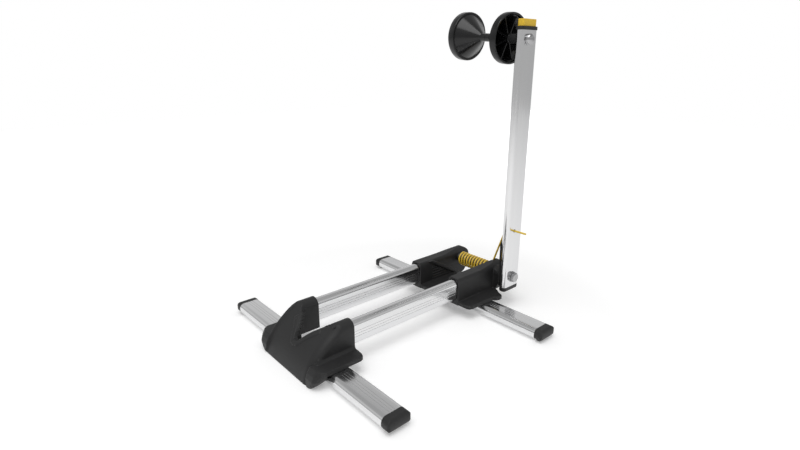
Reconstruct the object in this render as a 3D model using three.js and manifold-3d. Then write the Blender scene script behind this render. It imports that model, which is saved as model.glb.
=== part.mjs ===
// Floor bike rack: two rails and flat-lying feet joined by a notched front bracket and a rear bracket.
// A sprung arm leans back on the rear bracket and carries a roller of two free-turning cones.
// Millimetres, +Z up, +X to the right along the feet, +Y back along the rails.
// Pieces are written from the front foot's centre line on the floor, then the whole assembly is moved
// so that its origin is the middle of its bounding box, on the floor.
import * as THREE from "three";
import { mergeVertices } from "three/addons/utils/BufferGeometryUtils.js";
import Module from "manifold-3d";

// ---- Driving dimensions ----
// Tube section shared by the feet and the rails.
const TUBE_WIDTH = 33;
const TUBE_THICKNESS = 16;
const TUBE_CORNER = 7;
const TUBE_WALL = 1.8;
const GROOVE_PITCH = 3.8;
const GROOVE_WIDTH = 1.0;
const GROOVE_DEPTH = 0.5;

// Feet.
const FOOT_BOTTOM = 2.3;
const FOOT_END = 170;
const STUB_START = 52.3;
const REAR_FOOT_Y = 273;
const CAP_LENGTH = 12;
const CAP_ROUNDING = 6;
const CAP_PAD_LENGTH = 7.5;
const CAP_PAD_HALF_WIDTH = 11.5;
const CAP_PLUG_LENGTH = 18;
const CAP_PLUG_WALL = 2;

// Rails.
const RAIL_X = 41.3;
const RAIL_BOTTOM = 25.3;
const RAIL_START = 20;
const RAIL_END = 296;

// Sleeve towers that hold the rails, on both brackets.
const TOWER_INNER_X = 30.6;
const TOWER_OUTER_X = 52;
const TOWER_TOP = 61;
const TOWER_RADIUS = (TOWER_OUTER_X - TOWER_INNER_X) / 2;
const TOWER_FLOOR = 18.3;
const WEB_THICKNESS = 2.4;
const FLANGE_THICKNESS = 6;
const FLANGE_REACH = 22;

// Front bracket: height and front face position of the envelope, from the floor up.
const FRONT_TOP = 62.3;
const FRONT_FACE = [
  [0, -35],
  [4, -34.2],
  [10, -32.2],
  [16, -29.6],
  [22, -26.3],
  [28, -22.1],
  [34, -17.0],
  [40, -10.8],
  [45, -4.9],
  [50, 1.6],
  [54, 7.2],
  [57.5, 11.2],
  [60, 14],
  [61.6, 16.5],
  [FRONT_TOP, 20],
];
const FRONT_MOUTH_Y = 38;
const FRONT_PANEL_THICKNESS = 3.4;
const FRONT_RECESS_DEPTH = 1.6;
const FRONT_LOW_CORNER = 8;
const FRONT_HIGH_CORNER = 13;
const WEB_END_Y = 19;
const SPIGOT_END = 84;
const SPIGOT_WALL = 2.5;
const FRONT_FACE_LEAN = 1.35;
const NOTCH_JOIN_RISE = 0.4;
// Foot-side shoulder of the front bracket, level by level: corners measured out from the tower's
// side and back from the bracket's lip, then how far out the level ends beside the foot.
const SHOULDER_LEVELS = [
  { z: 0, corners: [[2, 0], [5.5, 1.5], [6.5, 6]], end: 4 },
  { z: 2, corners: [[4, 0], [7.5, 1.5], [8.5, 6]], end: 6 },
  { z: 5, corners: [[7.5, 0], [11, 1.5], [12.5, 6]], end: 10.5 },
  { z: 12, corners: [[11.5, 0.3], [15.5, 2.5], [17.5, 7]], end: 17.5 },
];
const SHOULDER_AT_FOOT_TOP = { corners: [[12, 2.8], [18, 6], [20.5, 12]], end: 20.5 };
const SHOULDER_AT_FLANGE = { corners: [[12, 7], [19, 10], [FLANGE_REACH, 15]], end: FLANGE_REACH };
// Front flange: where its front edge meets the tower and the outer edge, and its rear corner,
// measured out from the tower and short of the mouth.
const FRONT_FLANGE_START = [-17.5, -20];
const FRONT_FLANGE_CORNER = [
  [FLANGE_REACH, 7],
  [20.3, 3.3],
  [15.9, 1.5],
  [6.6, 0.4],
];

// Notch: half width against height, from the bottom of the V up.
const NOTCH = [
  [0, 33.8],
  [3.2, 34.4],
  [5, 35.6],
  [7, 37.8],
  [10.5, 42],
  [15, 46],
  [21, 50],
  [25.5, 53],
];
// Lower edge of the raised lip round the notch.
const RECESS_TOP = [
  [0, 28.8],
  [7, 30],
  [12, 33.5],
  [16, 38],
  [20.5, 42.5],
  [26.5, 46.5],
  [34, 50.5],
  [40, 52.5],
];
const RECESS_SIDE = [
  [43.5, 50],
  [45, 36],
  [45.8, 25],
  [46.8, 7],
];

// Rear bracket.
const REAR_MOUTH_Y = 230;
// Rear plate's edge, measured out from the towers and back from the foot's centre line.
const REAR_PLATE_RIGHT = [
  [16, -41.5],
  [20.5, -39],
  [22.5, -33],
  [23, 11],
  [27, 15],
  [29.5, 20],
  [29.3, 25.5],
  [26, 29],
  [20, 31],
  [14, 35],
  [10, 38],
  [0, 41],
];
const REAR_PLATE_LEFT = [
  [16, -41.5],
  [20.5, -39],
  [FLANGE_REACH, -33],
  [FLANGE_REACH, 19],
  [19, 29],
  [12, 37],
  [0, 41],
];
// Side view of a rear tower, whose top rises towards its ear.
const EAR_TOP = 64.5;
const EAR_OUTLINE = [
  [REAR_MOUTH_Y, TOWER_FLOOR],
  [327, TOWER_FLOOR],
  [335, 21],
  [340.5, 27],
  [344, 35],
  [346, 43],
  [346.5, 50],
  [345, 56],
  [341.5, 60.8],
  [336, 63.6],
  [329, EAR_TOP],
  [318, 63.8],
  [285, TOWER_TOP],
  [REAR_MOUTH_Y, TOWER_TOP],
];
const STRAP_OUTLINE = [
  [248, 60.4],
  [257, 60.4],
  [322, 24.3],
  [310, 24.3],
];
const STRAP_PROUD = 1.6;
const POCKET_OUTLINE = [
  [258, 29],
  [303, 29],
  [262, 51],
  [258, 51],
];
const POCKET_DEPTH = 1.3;
const BOSS_RADIUS = 10.5;
const GUSSET_THICKNESS = 5;
const GUSSET_Y = 317;
const GUSSET_REACH = 6;
const GUSSET_KNEE_Z = 40;
const GUSSET_RISE = 9;

// Hinge.
const HINGE_Y = 322;
const HINGE_Z = 49.5;
const BOLT_RADIUS = 4;
const BOLT_BORE = 4.3;
const BOLT_HEAD_FLATS = 13;
const BOLT_HEAD_HEIGHT = 5.3;
const BOLT_END_X = -50.5;
const NUT_HEIGHT = 6.5;
const NUT_BORE = 4.05;
const NUT_POCKET_CLEARANCE = 0.4;
const NUT_POCKET_DEPTH = 7;
const BOSS_END_X = 64.2;
const WASHER_RADIUS = 8.5;
const WASHER_THICKNESS = 1.6;
const SLEEVE_RADIUS = 7;
const SLEEVE_END_X = 30.4;

// Arm.
const ARM_INNER_X = 68.2;
const ARM_OUTER_X = 80.8;
const ARM_Y = 322;
const ARM_DEPTH = 36.4;
const ARM_CORNER = 6;
const ARM_WALL = 1.6;
const ARM_BOTTOM = 34;
const ARM_END_ABOVE_AXLE = 12;
const ARM_PLUG_CLEARANCE = 0.2;
const BOTTOM_CAP_Z = 27;
const BOTTOM_PLUG_LENGTH = 8;
const BOTTOM_CAP_BEVEL = 1.6;
const CAP_BOLT_ROOM = 1;
const TOP_CAP_HEIGHT = 4.5;
const TOP_CAP_OVERHANG = 1;
const TOP_PLUG_LENGTH = 9;
const TOP_BLOCK_X = [70, 79.5];
const TOP_BLOCK_Y = [306.5, 337.5];
const TOP_BLOCK_HEIGHT = 9.5;
const TOP_BLOCK_CORNER = 3;
const PLATE_INNER_X = 66;
const PLATE_Y = [306, 338];
const PLATE_Z = [31, 110];
const PLATE_CORNER = 9;
const PLATE_GAP = 0.2;
const BUSH_RADIUS = 6.5;
const BUSH_GAP = 0.1;
const TIP_BORE = 2.4;

// Roller, measured along its axle, which tilts down and forwards towards the arm.
const ROLLER_TILT = THREE.MathUtils.degToRad(3.6);
const ROLLER_YAW = THREE.MathUtils.degToRad(4.5);
const ROLLER_Y = 325;
const ROLLER_AT_ARM_Z = 399;
const GROOVE_CENTRE_S = 4.7;
const RIM_RADIUS = 34.4;
const RIM_INNER_S = 39;
const RIM_OUTER_S = 47.4;
const RIM_WALL = 2.6;
const RIM_EDGE = 0.8;
const NECK_RADIUS = 5.7;
const NECK_END_S = 10;
const CONE_GAP = 0.3;
const CONE_WALL = 3;
const HUB_RADIUS = 7;
const HUB_END_S = 46.4;
const CONE_WEBS = 8;
const CONE_WEB_THICKNESS = 1.8;
const CONE_WEB_END_S = 44.5;
const CONE_WEB_ROOT = 2;
const CUP_FLOOR_DEPTH = 9;
const AXLE_RADIUS = 4;
const AXLE_BORE = 4.3;
const AXLE_HEAD_RADIUS = 7;
const AXLE_HEAD_HEIGHT = 3.5;
const AXLE_HEAD_BEVEL = 1.5;
const AXLE_HOLE_S = [60, 95];
const AXLE_END_S = 85.5;
const SPACER_RADIUS = 6.5;
const SPACER_BLANK_END_S = 75;
const NUT_BLANK_START_S = 76;
const DOME_RADIUS = 7.3;
const DOME_CLEAR = 0.3;
const DOME_TOP_S = 89.3;
// Dome outline: share of the radius, and depth below the dome's top.
const DOME_OUTLINE = [
  [1, 4.2],
  [0.92, 2.3],
  [0.7, 0.9],
  [0.38, 0.2],
  [0, 0],
];

// Torsion spring.
const WIRE_RADIUS = 1.8;
const COIL_RADIUS = 10.2;
const COIL_START_X = -24;
const COIL_END_X = 32;
const COIL_TURNS = 10;
const COIL_START_ANGLE = 0;
const COIL_ROOM_RADIUS = 13;
const COIL_ROOM_END_X = 34.5;
const STEPS_PER_TURN = 8;
const WIRE_SIDES = 5;
const ANCHOR_END_X = -40;
const ANCHOR_BORE = 2.3;
const ANCHOR_BORE_END_X = -44;
const LEG_BEND = [65.3, 319.5, 125.6];
const TIP_END_X = 101;
const ANCHOR_BEND = 0.5;
const LEG_LIFT = 2.4;
const LEG_TURN = 1.2;
const BEND_REACH = 3;
const BEND_CORNER = 0.9;
const LEG_SLOT = { x: [30, 41], y: [326.6, 335], z: [49.5, 70] };

// Screws that fix the tubes.
const SCREW_RADIUS = 2;
const SCREW_HEAD_RADIUS = 3.8;
const SCREW_HEAD_HEIGHT = 1.8;
const FOOT_SCREW_INSET = 8;
const FRONT_FOOT_SCREW_TOP = 9;
const REAR_FOOT_SCREW_TOP = 23;
const RAIL_SCREW_Y = [30, 244];
const RAIL_SCREW_TOP = 31;

// Fits and curve steps.
const SOCKET_CLEARANCE = 0.25;
const SCREW_CLEARANCE = 0.3;
const SLIDE_CLEARANCE = 0.3;
const CORNER_STEPS = 5;
const CAP_STEPS = 10;
const TOWER_STEPS = 15;
const ROUND_STEPS = 32;
const SMALL_ROUND_STEPS = 16;
const CONE_STEPS = 48;
const THROUGH = 600;
const OVERLAP = 1;

// ---- Derived levels ----
const FOOT_TOP = FOOT_BOTTOM + TUBE_THICKNESS;
const FOOT_Z = FOOT_BOTTOM + TUBE_THICKNESS / 2;
const RAIL_Z = RAIL_BOTTOM + TUBE_WIDTH / 2;
const FLANGE_TOP = FOOT_TOP + FLANGE_THICKNESS;
const FLANGE_OUTER_X = TOWER_OUTER_X + FLANGE_REACH;
const FOOT_SCREW_X = FLANGE_OUTER_X - FOOT_SCREW_INSET;
const FRONT_LIP_Y = FRONT_FACE[0][1];
const BORE_WIDTH = TUBE_WIDTH - 2 * TUBE_WALL;
const BORE_THICKNESS = TUBE_THICKNESS - 2 * TUBE_WALL;
const BORE_CORNER = TUBE_CORNER - TUBE_WALL;
const ARM_THICKNESS = ARM_OUTER_X - ARM_INNER_X;
const ARM_X = (ARM_OUTER_X + ARM_INNER_X) / 2;
const ARM_TOP = ROLLER_AT_ARM_Z + ARM_END_ABOVE_AXLE;
const ROLLER_Z = ROLLER_AT_ARM_Z + ARM_OUTER_X * Math.tan(ROLLER_TILT);

// The whole object's depth runs from the front bracket's lip to the back of the roller's rims.
const RIM_LAST_S = RIM_OUTER_S - RIM_EDGE - GROOVE_CENTRE_S;
const RIM_MIDDLE_Y = ROLLER_Y + RIM_LAST_S * Math.cos(ROLLER_TILT) * Math.sin(ROLLER_YAW);
const CENTRE_Y = (FRONT_LIP_Y + RIM_MIDDLE_Y + RIM_RADIUS * Math.cos(ROLLER_YAW)) / 2;

const wasm = await Module();
wasm.setup();

// ---- Solid helpers ----
function toSolid(geometry) {
  const bare = geometry.index ? geometry.toNonIndexed() : geometry.clone();
  bare.deleteAttribute("normal");
  bare.deleteAttribute("uv");
  const merged = mergeVertices(bare, 1e-4);
  return new wasm.Manifold(
    new wasm.Mesh({
      numProp: 3,
      vertProperties: merged.attributes.position.array,
      triVerts: new Uint32Array(merged.index.array),
    }),
  );
}

function toGeometry(solid) {
  const mesh = solid.getMesh();
  const geometry = new THREE.BufferGeometry();
  geometry.setAttribute("position", new THREE.BufferAttribute(mesh.vertProperties, 3));
  geometry.setIndex(new THREE.BufferAttribute(mesh.triVerts, 1));
  geometry.computeVertexNormals();
  return geometry;
}

function join(...solids) {
  return solids.reduce((whole, piece) => whole.add(piece));
}

function cut(solid, ...tools) {
  return tools.reduce((whole, tool) => whole.subtract(tool), solid);
}

const X_AXIS = new THREE.Vector3(1, 0, 0);
const Y_AXIS = new THREE.Vector3(0, 1, 0);
const Z_AXIS = new THREE.Vector3(0, 0, 1);
const TURN = {
  x: new THREE.Matrix4().makeBasis(Y_AXIS, Z_AXIS, X_AXIS),
  y: new THREE.Matrix4().makeBasis(X_AXIS, Z_AXIS, Y_AXIS.clone().negate()),
  z: new THREE.Matrix4(),
};

// An outline pulled along one axis. The outline is (y, z) for x, (x, z) for y and (x, y) for z.
function prism(axis, outline, start, end) {
  const low = Math.min(start, end);
  const high = Math.max(start, end);
  const shape = new THREE.Shape(outline.map(([u, v]) => new THREE.Vector2(u, v)));
  const geometry = new THREE.ExtrudeGeometry(shape, { depth: high - low, bevelEnabled: false });
  geometry.applyMatrix4(TURN[axis]);
  geometry.translate(axis === "x" ? low : 0, axis === "y" ? high : 0, axis === "z" ? low : 0);
  return toSolid(geometry);
}

function box(x, y, z) {
  const geometry = new THREE.BoxGeometry(
    Math.abs(x[1] - x[0]),
    Math.abs(y[1] - y[0]),
    Math.abs(z[1] - z[0]),
  );
  geometry.translate((x[0] + x[1]) / 2, (y[0] + y[1]) / 2, (z[0] + z[1]) / 2);
  return toSolid(geometry);
}

// A round solid about a line along X. The profile is (radius, x), rising outside and closed.
function turned(profile, steps, y, z) {
  const points = profile.map(([radius, along]) => new THREE.Vector2(radius, along));
  const geometry = new THREE.LatheGeometry(points, steps);
  geometry.rotateZ(-Math.PI / 2);
  geometry.translate(0, y, z);
  return toSolid(geometry);
}

function rod(radius, start, end, y, z, steps = ROUND_STEPS) {
  const low = Math.min(start, end);
  const high = Math.max(start, end);
  return turned([[0, low], [radius, low], [radius, high], [0, high]], steps, y, z);
}

function ring(radius, bore, start, end, y, z) {
  const profile = [[bore, start], [radius, start], [radius, end], [bore, end], [bore, start]];
  return turned(profile, ROUND_STEPS, y, z);
}

// Stacked level outlines joined into one body. Each level is [z, [[x, y], ...]], counter-clockwise.
function lofted(levels) {
  const count = levels[0][1].length;
  const positions = [];
  const faces = [];
  for (const [z, outline] of levels) {
    for (const [x, y] of outline) {
      positions.push(x, y, z);
    }
  }
  for (let level = 0; level + 1 < levels.length; level += 1) {
    for (let i = 0; i < count; i += 1) {
      const a = level * count + i;
      const b = level * count + ((i + 1) % count);
      faces.push(a, b, b + count, a, b + count, a + count);
    }
  }
  const flat = levels[0][1].map(([x, y]) => new THREE.Vector2(x, y));
  const top = (levels.length - 1) * count;
  for (const [a, b, c] of THREE.ShapeUtils.triangulateShape(flat, [])) {
    faces.push(c, b, a);
  }
  const roof = levels[levels.length - 1][1].map(([x, y]) => new THREE.Vector2(x, y));
  for (const [a, b, c] of THREE.ShapeUtils.triangulateShape(roof, [])) {
    faces.push(top + a, top + b, top + c);
  }
  const geometry = new THREE.BufferGeometry();
  geometry.setAttribute("position", new THREE.Float32BufferAttribute(positions, 3));
  geometry.setIndex(faces);
  return toSolid(geometry);
}

function arc(centre, radius, from, to, steps) {
  const points = [];
  for (let i = 0; i <= steps; i += 1) {
    const angle = from + ((to - from) * i) / steps;
    points.push([centre[0] + radius * Math.cos(angle), centre[1] + radius * Math.sin(angle)]);
  }
  return points;
}

// A rounded rectangle about a centre, counter-clockwise, with optional fine grooves in its long faces.
function roundedOutline(centre, width, height, corner, grooved = false) {
  const [u, v] = centre;
  const reachU = width / 2 - corner;
  const reachV = height / 2 - corner;
  const quarter = Math.PI / 2;
  const face = (side) => {
    if (!grooved) {
      return [];
    }
    const marks = [];
    for (const at of [-GROOVE_PITCH, 0, GROOVE_PITCH]) {
      const middle = side * -at;
      const step = side * GROOVE_WIDTH;
      const level = side * (height / 2);
      const floor = side * (height / 2 - GROOVE_DEPTH);
      marks.push([u + middle + step / 2, v + level]);
      marks.push([u + middle + step / 4, v + floor]);
      marks.push([u + middle - step / 4, v + floor]);
      marks.push([u + middle - step / 2, v + level]);
    }
    return marks;
  };
  return [
    ...arc([u + reachU, v + reachV], corner, 0, quarter, CORNER_STEPS),
    ...face(1),
    ...arc([u - reachU, v + reachV], corner, quarter, 2 * quarter, CORNER_STEPS),
    ...arc([u - reachU, v - reachV], corner, 2 * quarter, 3 * quarter, CORNER_STEPS),
    ...face(-1),
    ...arc([u + reachU, v - reachV], corner, 3 * quarter, 4 * quarter, CORNER_STEPS),
  ];
}

function mirrored(outline) {
  return outline.map(([u, v]) => [-u, v]).reverse();
}

function swapped(outline) {
  return outline.map(([u, v]) => [v, u]).reverse();
}

function regularOutline(centre, flats, sides) {
  const radius = flats / 2 / Math.cos(Math.PI / sides);
  return arc(centre, radius, 0, (2 * Math.PI * (sides - 1)) / sides, sides - 1);
}

// ---- Feet and rails ----
function footSection(y, inset = 0, grooved = false) {
  return roundedOutline(
    [y, FOOT_Z],
    TUBE_WIDTH - 2 * inset,
    TUBE_THICKNESS - 2 * inset,
    TUBE_CORNER - inset,
    grooved,
  );
}

function footTube(y, start, end, screwXs, holeTop) {
  const tube = cut(
    prism("x", footSection(y, 0, true), start, end),
    prism("x", footSection(y, TUBE_WALL), start - OVERLAP, end + OVERLAP),
  );
  return cut(tube, ...screwXs.map((x) => screwHole(x, y, 0, holeTop)));
}

function verticalRod(radius, x, y, low, high) {
  const geometry = new THREE.CylinderGeometry(radius, radius, high - low, SMALL_ROUND_STEPS);
  geometry.rotateX(Math.PI / 2);
  geometry.translate(x, y, (low + high) / 2);
  return toSolid(geometry);
}

function screwHole(x, y, low, high) {
  return verticalRod(SCREW_RADIUS + SCREW_CLEARANCE, x, y, low, high);
}

// End cap on the right-hand end: rounded nose, floor pad and a hollow plug inside the tube.
function footCap(side, y) {
  const nose = FOOT_END + CAP_LENGTH;
  const bend = nose - CAP_ROUNDING;
  const half = TUBE_THICKNESS / 2;
  const reach = TUBE_WIDTH / 2;
  const quarter = Math.PI / 2;
  const roundNose = arc([0, 0], 1, -quarter, quarter, CAP_STEPS).map(([u, v]) => [
    bend + u * CAP_ROUNDING,
    FOOT_Z + v * half,
  ]);
  const sideView = [[FOOT_END, FOOT_BOTTOM], ...roundNose, [FOOT_END, FOOT_TOP]];
  const planView = [
    [FOOT_END - OVERLAP, y - reach - OVERLAP],
    [bend, y - reach - OVERLAP],
    ...arc([bend, y - reach + CAP_ROUNDING], CAP_ROUNDING, -quarter, 0, CORNER_STEPS),
    ...arc([bend, y + reach - CAP_ROUNDING], CAP_ROUNDING, 0, quarter, CORNER_STEPS),
    [bend, y + reach + OVERLAP],
    [FOOT_END - OVERLAP, y + reach + OVERLAP],
  ];
  const toSide = (outline) => (side > 0 ? outline : mirrored(outline));
  const head = prism("x", footSection(y), side * FOOT_END, side * (nose + OVERLAP))
    .intersect(prism("y", toSide(sideView), y - TUBE_WIDTH, y + TUBE_WIDTH))
    .intersect(prism("z", toSide(planView), -OVERLAP, FOOT_TOP + OVERLAP));
  const padInner = side * (FOOT_END + SLIDE_CLEARANCE);
  const pad = box(
    [padInner, side * (FOOT_END + CAP_PAD_LENGTH)],
    [y - CAP_PAD_HALF_WIDTH, y + CAP_PAD_HALF_WIDTH],
    [0, FOOT_BOTTOM + TUBE_WALL],
  );
  const inset = TUBE_WALL + SOCKET_CLEARANCE;
  const plugStart = FOOT_END - CAP_PLUG_LENGTH;
  const plug = cut(
    prism("x", footSection(y, inset), side * plugStart, side * (FOOT_END + OVERLAP)),
    prism("x", footSection(y, inset + CAP_PLUG_WALL), side * (plugStart - OVERLAP), side * FOOT_END),
  );
  return join(head, pad, plug);
}

function railSection(side, inset = 0, grooved = false) {
  const upright = roundedOutline(
    [RAIL_Z, side * RAIL_X],
    TUBE_WIDTH - 2 * inset,
    TUBE_THICKNESS - 2 * inset,
    TUBE_CORNER - inset,
    grooved,
  );
  return swapped(upright);
}

function rail(side) {
  const tube = cut(
    prism("y", railSection(side, 0, true), RAIL_START, RAIL_END),
    prism("y", railSection(side, TUBE_WALL), RAIL_START - OVERLAP, RAIL_END + OVERLAP),
  );
  return cut(tube, ...RAIL_SCREW_Y.map((y) => screwHole(side * RAIL_X, y, TOWER_FLOOR, RAIL_Z)));
}

function railSocket(side, start, end) {
  return prism("y", railSection(side, -SOCKET_CLEARANCE), start, end);
}

// ---- Front bracket ----
function frontEnvelope() {
  const levels = FRONT_FACE.map(([z, face]) => {
    const share = z / FRONT_TOP;
    const corner = FRONT_LOW_CORNER + (FRONT_HIGH_CORNER - FRONT_LOW_CORNER) * share;
    const reach = TOWER_OUTER_X - corner;
    const quarter = Math.PI / 2;
    const outline = [
      ...arc([-reach, face + corner], corner, 2 * quarter, 3 * quarter, CORNER_STEPS),
      ...arc([reach, face + corner], corner, 3 * quarter, 4 * quarter, CORNER_STEPS),
      [TOWER_OUTER_X, FRONT_MOUTH_Y],
      [-TOWER_OUTER_X, FRONT_MOUTH_Y],
    ];
    return [z, outline];
  });
  return lofted(levels);
}

// The space behind the front face, starting a wall's depth inside it.
function behindFrontFace(depth, halfWidth, low, high) {
  const face = FRONT_FACE.filter(([z]) => z < FRONT_TOP - depth);
  const wall = face.map(([z, y]) => [y + depth * FRONT_FACE_LEAN, z]);
  const [lowY] = wall[0];
  const [highY] = wall[wall.length - 1];
  const above = FRONT_TOP + 2 * OVERLAP;
  const outline = [[lowY, -OVERLAP], [THROUGH, -OVERLAP], [THROUGH, above], [highY + depth, above]];
  return prism("x", [...outline, ...wall.reverse()], -halfWidth, halfWidth).intersect(
    box([-halfWidth, halfWidth], [-THROUGH, THROUGH], [low, high]),
  );
}

function frontOutline() {
  const towerCentre = [TOWER_OUTER_X - TOWER_RADIUS, FRONT_TOP - TOWER_RADIUS];
  const joinAngle = Math.PI - Math.asin(NOTCH_JOIN_RISE);
  const right = [
    ...arc(towerCentre, TOWER_RADIUS, 0, joinAngle, TOWER_STEPS),
    ...NOTCH.slice(1).reverse(),
  ];
  return [
    [-TOWER_OUTER_X, -OVERLAP],
    [TOWER_OUTER_X, -OVERLAP],
    ...right,
    NOTCH[0],
    ...mirrored(right),
  ];
}

function recessOutline() {
  const right = [...RECESS_SIDE.slice().reverse(), ...RECESS_TOP.slice(1).reverse()];
  return [...right, RECESS_TOP[0], ...mirrored(right)];
}

// The foot-side shoulder of the front bracket, in front of the foot.
function frontShoulder(side) {
  const inner = TOWER_OUTER_X - WEB_THICKNESS;
  const back = -TUBE_WIDTH / 2 - SLIDE_CLEARANCE;
  const rows = [
    ...SHOULDER_LEVELS,
    { z: FOOT_TOP, ...SHOULDER_AT_FOOT_TOP },
    { z: FLANGE_TOP, ...SHOULDER_AT_FLANGE },
  ];
  const levels = rows.map(({ z, corners, end }) => {
    const placed = corners.map(([out, along]) => [TOWER_OUTER_X + out, FRONT_LIP_Y + along]);
    const outline = [[inner, back], [inner, placed[0][1]], ...placed, [TOWER_OUTER_X + end, back]];
    return [z, side > 0 ? outline : mirrored(outline)];
  });
  return lofted(levels);
}

function frontFlange(side) {
  const inner = TOWER_OUTER_X - WEB_THICKNESS;
  const [atTower, atEdge] = FRONT_FLANGE_START;
  const corner = FRONT_FLANGE_CORNER.map(([out, short]) => [TOWER_OUTER_X + out, FRONT_MOUTH_Y - short]);
  const outline = [[inner, atTower], [FLANGE_OUTER_X, atEdge], ...corner, [inner, FRONT_MOUTH_Y]];
  return prism("z", side > 0 ? outline : mirrored(outline), FOOT_TOP, FLANGE_TOP);
}

// The plug that the front foot's tube slides over.
function frontSpigot(side) {
  const inner = TOWER_OUTER_X - WEB_THICKNESS;
  const inset = TUBE_WALL + SOCKET_CLEARANCE;
  return cut(
    prism("x", footSection(0, inset), side * inner, side * SPIGOT_END),
    prism("x", footSection(0, inset + SPIGOT_WALL), side * TOWER_OUTER_X, side * THROUGH),
  );
}

function frontBracket() {
  const inner = TOWER_OUTER_X - WEB_THICKNESS;
  const above = FRONT_TOP + OVERLAP;
  const shell = cut(
    frontEnvelope().intersect(prism("y", frontOutline(), -THROUGH, THROUGH)),
    behindFrontFace(FRONT_PANEL_THICKNESS, TOWER_INNER_X, -OVERLAP, above),
    behindFrontFace(FRONT_PANEL_THICKNESS, inner, -OVERLAP, TOWER_FLOOR),
    box([-THROUGH, THROUGH], [WEB_END_Y, THROUGH], [-OVERLAP, TOWER_FLOOR]),
  );
  const recess = cut(
    prism("y", recessOutline(), -THROUGH, THROUGH),
    behindFrontFace(FRONT_RECESS_DEPTH, TOWER_OUTER_X, -OVERLAP, above),
    box([-THROUGH, THROUGH], [WEB_END_Y, THROUGH], [-OVERLAP, above]),
  );
  let body = cut(shell, recess);
  for (const side of [-1, 1]) {
    body = join(body, frontShoulder(side), frontFlange(side), frontSpigot(side));
    body = cut(
      body,
      railSocket(side, RAIL_START - SOCKET_CLEARANCE, THROUGH),
      screwHole(side * RAIL_X, RAIL_SCREW_Y[0], 0, RAIL_Z),
      screwHole(side * FOOT_SCREW_X, 0, 0, FOOT_Z),
    );
  }
  return body;
}

// ---- Rear bracket ----
function towerOutline(side) {
  const centre = [side * (TOWER_OUTER_X - TOWER_RADIUS), EAR_TOP - TOWER_RADIUS];
  return [
    [centre[0] - TOWER_RADIUS, 0],
    [centre[0] + TOWER_RADIUS, 0],
    ...arc(centre, TOWER_RADIUS, 0, Math.PI, TOWER_STEPS),
  ];
}

function rearPlate() {
  const placed = (side, table) =>
    table.map(([out, along]) => [side * (TOWER_OUTER_X + out), REAR_FOOT_Y + along]);
  const outline = [...placed(1, REAR_PLATE_RIGHT), ...placed(-1, REAR_PLATE_LEFT).reverse()];
  return prism("z", outline, FOOT_TOP, FLANGE_TOP);
}

// One tower with the ear behind it, a raised strap and a shallow pocket on its inner face.
function rearTower(side) {
  const ear = prism("x", EAR_OUTLINE, 0, side * TOWER_OUTER_X);
  const tower = prism("y", towerOutline(side), REAR_MOUTH_Y, THROUGH).intersect(ear);
  const face = side * TOWER_INNER_X;
  const pocket = prism("x", POCKET_OUTLINE, 0, face + side * POCKET_DEPTH);
  const strap = prism("x", STRAP_OUTLINE, face - side * STRAP_PROUD, face + side * WEB_THICKNESS);
  return join(cut(tower, pocket), strap);
}

// The round boss that carries the arm beside the right-hand ear, and the rib under it.
function hingeBoss() {
  const root = TOWER_OUTER_X - OVERLAP;
  const rib = [
    [root, FLANGE_TOP - OVERLAP],
    [TOWER_OUTER_X + GUSSET_REACH, FLANGE_TOP - OVERLAP],
    [BOSS_END_X, GUSSET_KNEE_Z],
    [BOSS_END_X, HINGE_Z],
    [root, HINGE_Z + GUSSET_RISE],
  ];
  return join(
    rod(BOSS_RADIUS, root, BOSS_END_X, HINGE_Y, HINGE_Z),
    prism("y", rib, GUSSET_Y - GUSSET_THICKNESS, GUSSET_Y),
  );
}

function rearBracket() {
  let body = join(rearPlate(), rearTower(-1), rearTower(1), hingeBoss());
  for (const side of [-1, 1]) {
    body = cut(
      body,
      railSocket(side, REAR_MOUTH_Y - OVERLAP, RAIL_END + SOCKET_CLEARANCE),
      screwHole(side * RAIL_X, RAIL_SCREW_Y[1], 0, RAIL_Z),
      screwHole(side * FOOT_SCREW_X, REAR_FOOT_Y, 0, REAR_FOOT_SCREW_TOP + SCREW_CLEARANCE),
    );
  }
  const nutFlats = BOLT_HEAD_FLATS + 2 * NUT_POCKET_CLEARANCE;
  const nutPocket = regularOutline([HINGE_Y, HINGE_Z], nutFlats, 6);
  const [anchorY, anchorZ] = onCoil(COIL_START_ANGLE);
  return cut(
    body,
    rod(BOLT_BORE, -THROUGH, THROUGH, HINGE_Y, HINGE_Z),
    prism("x", nutPocket, -THROUGH, -TOWER_OUTER_X + NUT_POCKET_DEPTH),
    rod(ANCHOR_BORE, ANCHOR_BORE_END_X, 0, anchorY, anchorZ, SMALL_ROUND_STEPS),
    rod(COIL_ROOM_RADIUS, 0, COIL_ROOM_END_X, HINGE_Y, HINGE_Z),
    box(LEG_SLOT.x, LEG_SLOT.y, LEG_SLOT.z),
  );
}

// ---- Hinge hardware ----
function hingeBolt() {
  const headStart = ARM_OUTER_X + SLIDE_CLEARANCE + WASHER_THICKNESS;
  const head = prism(
    "x",
    regularOutline([HINGE_Y, HINGE_Z], BOLT_HEAD_FLATS, 6),
    headStart,
    headStart + BOLT_HEAD_HEIGHT,
  );
  return join(rod(BOLT_RADIUS, BOLT_END_X, headStart + OVERLAP, HINGE_Y, HINGE_Z), head);
}

function hingeNut() {
  const start = -TOWER_OUTER_X + NUT_POCKET_DEPTH - NUT_HEIGHT;
  return cut(
    prism("x", regularOutline([HINGE_Y, HINGE_Z], BOLT_HEAD_FLATS, 6), start, start + NUT_HEIGHT),
    rod(NUT_BORE, -THROUGH, THROUGH, HINGE_Y, HINGE_Z),
  );
}

// ---- Torsion spring ----
function onCoil(angle) {
  return [HINGE_Y + COIL_RADIUS * Math.cos(angle), HINGE_Z + COIL_RADIUS * Math.sin(angle)];
}

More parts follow.
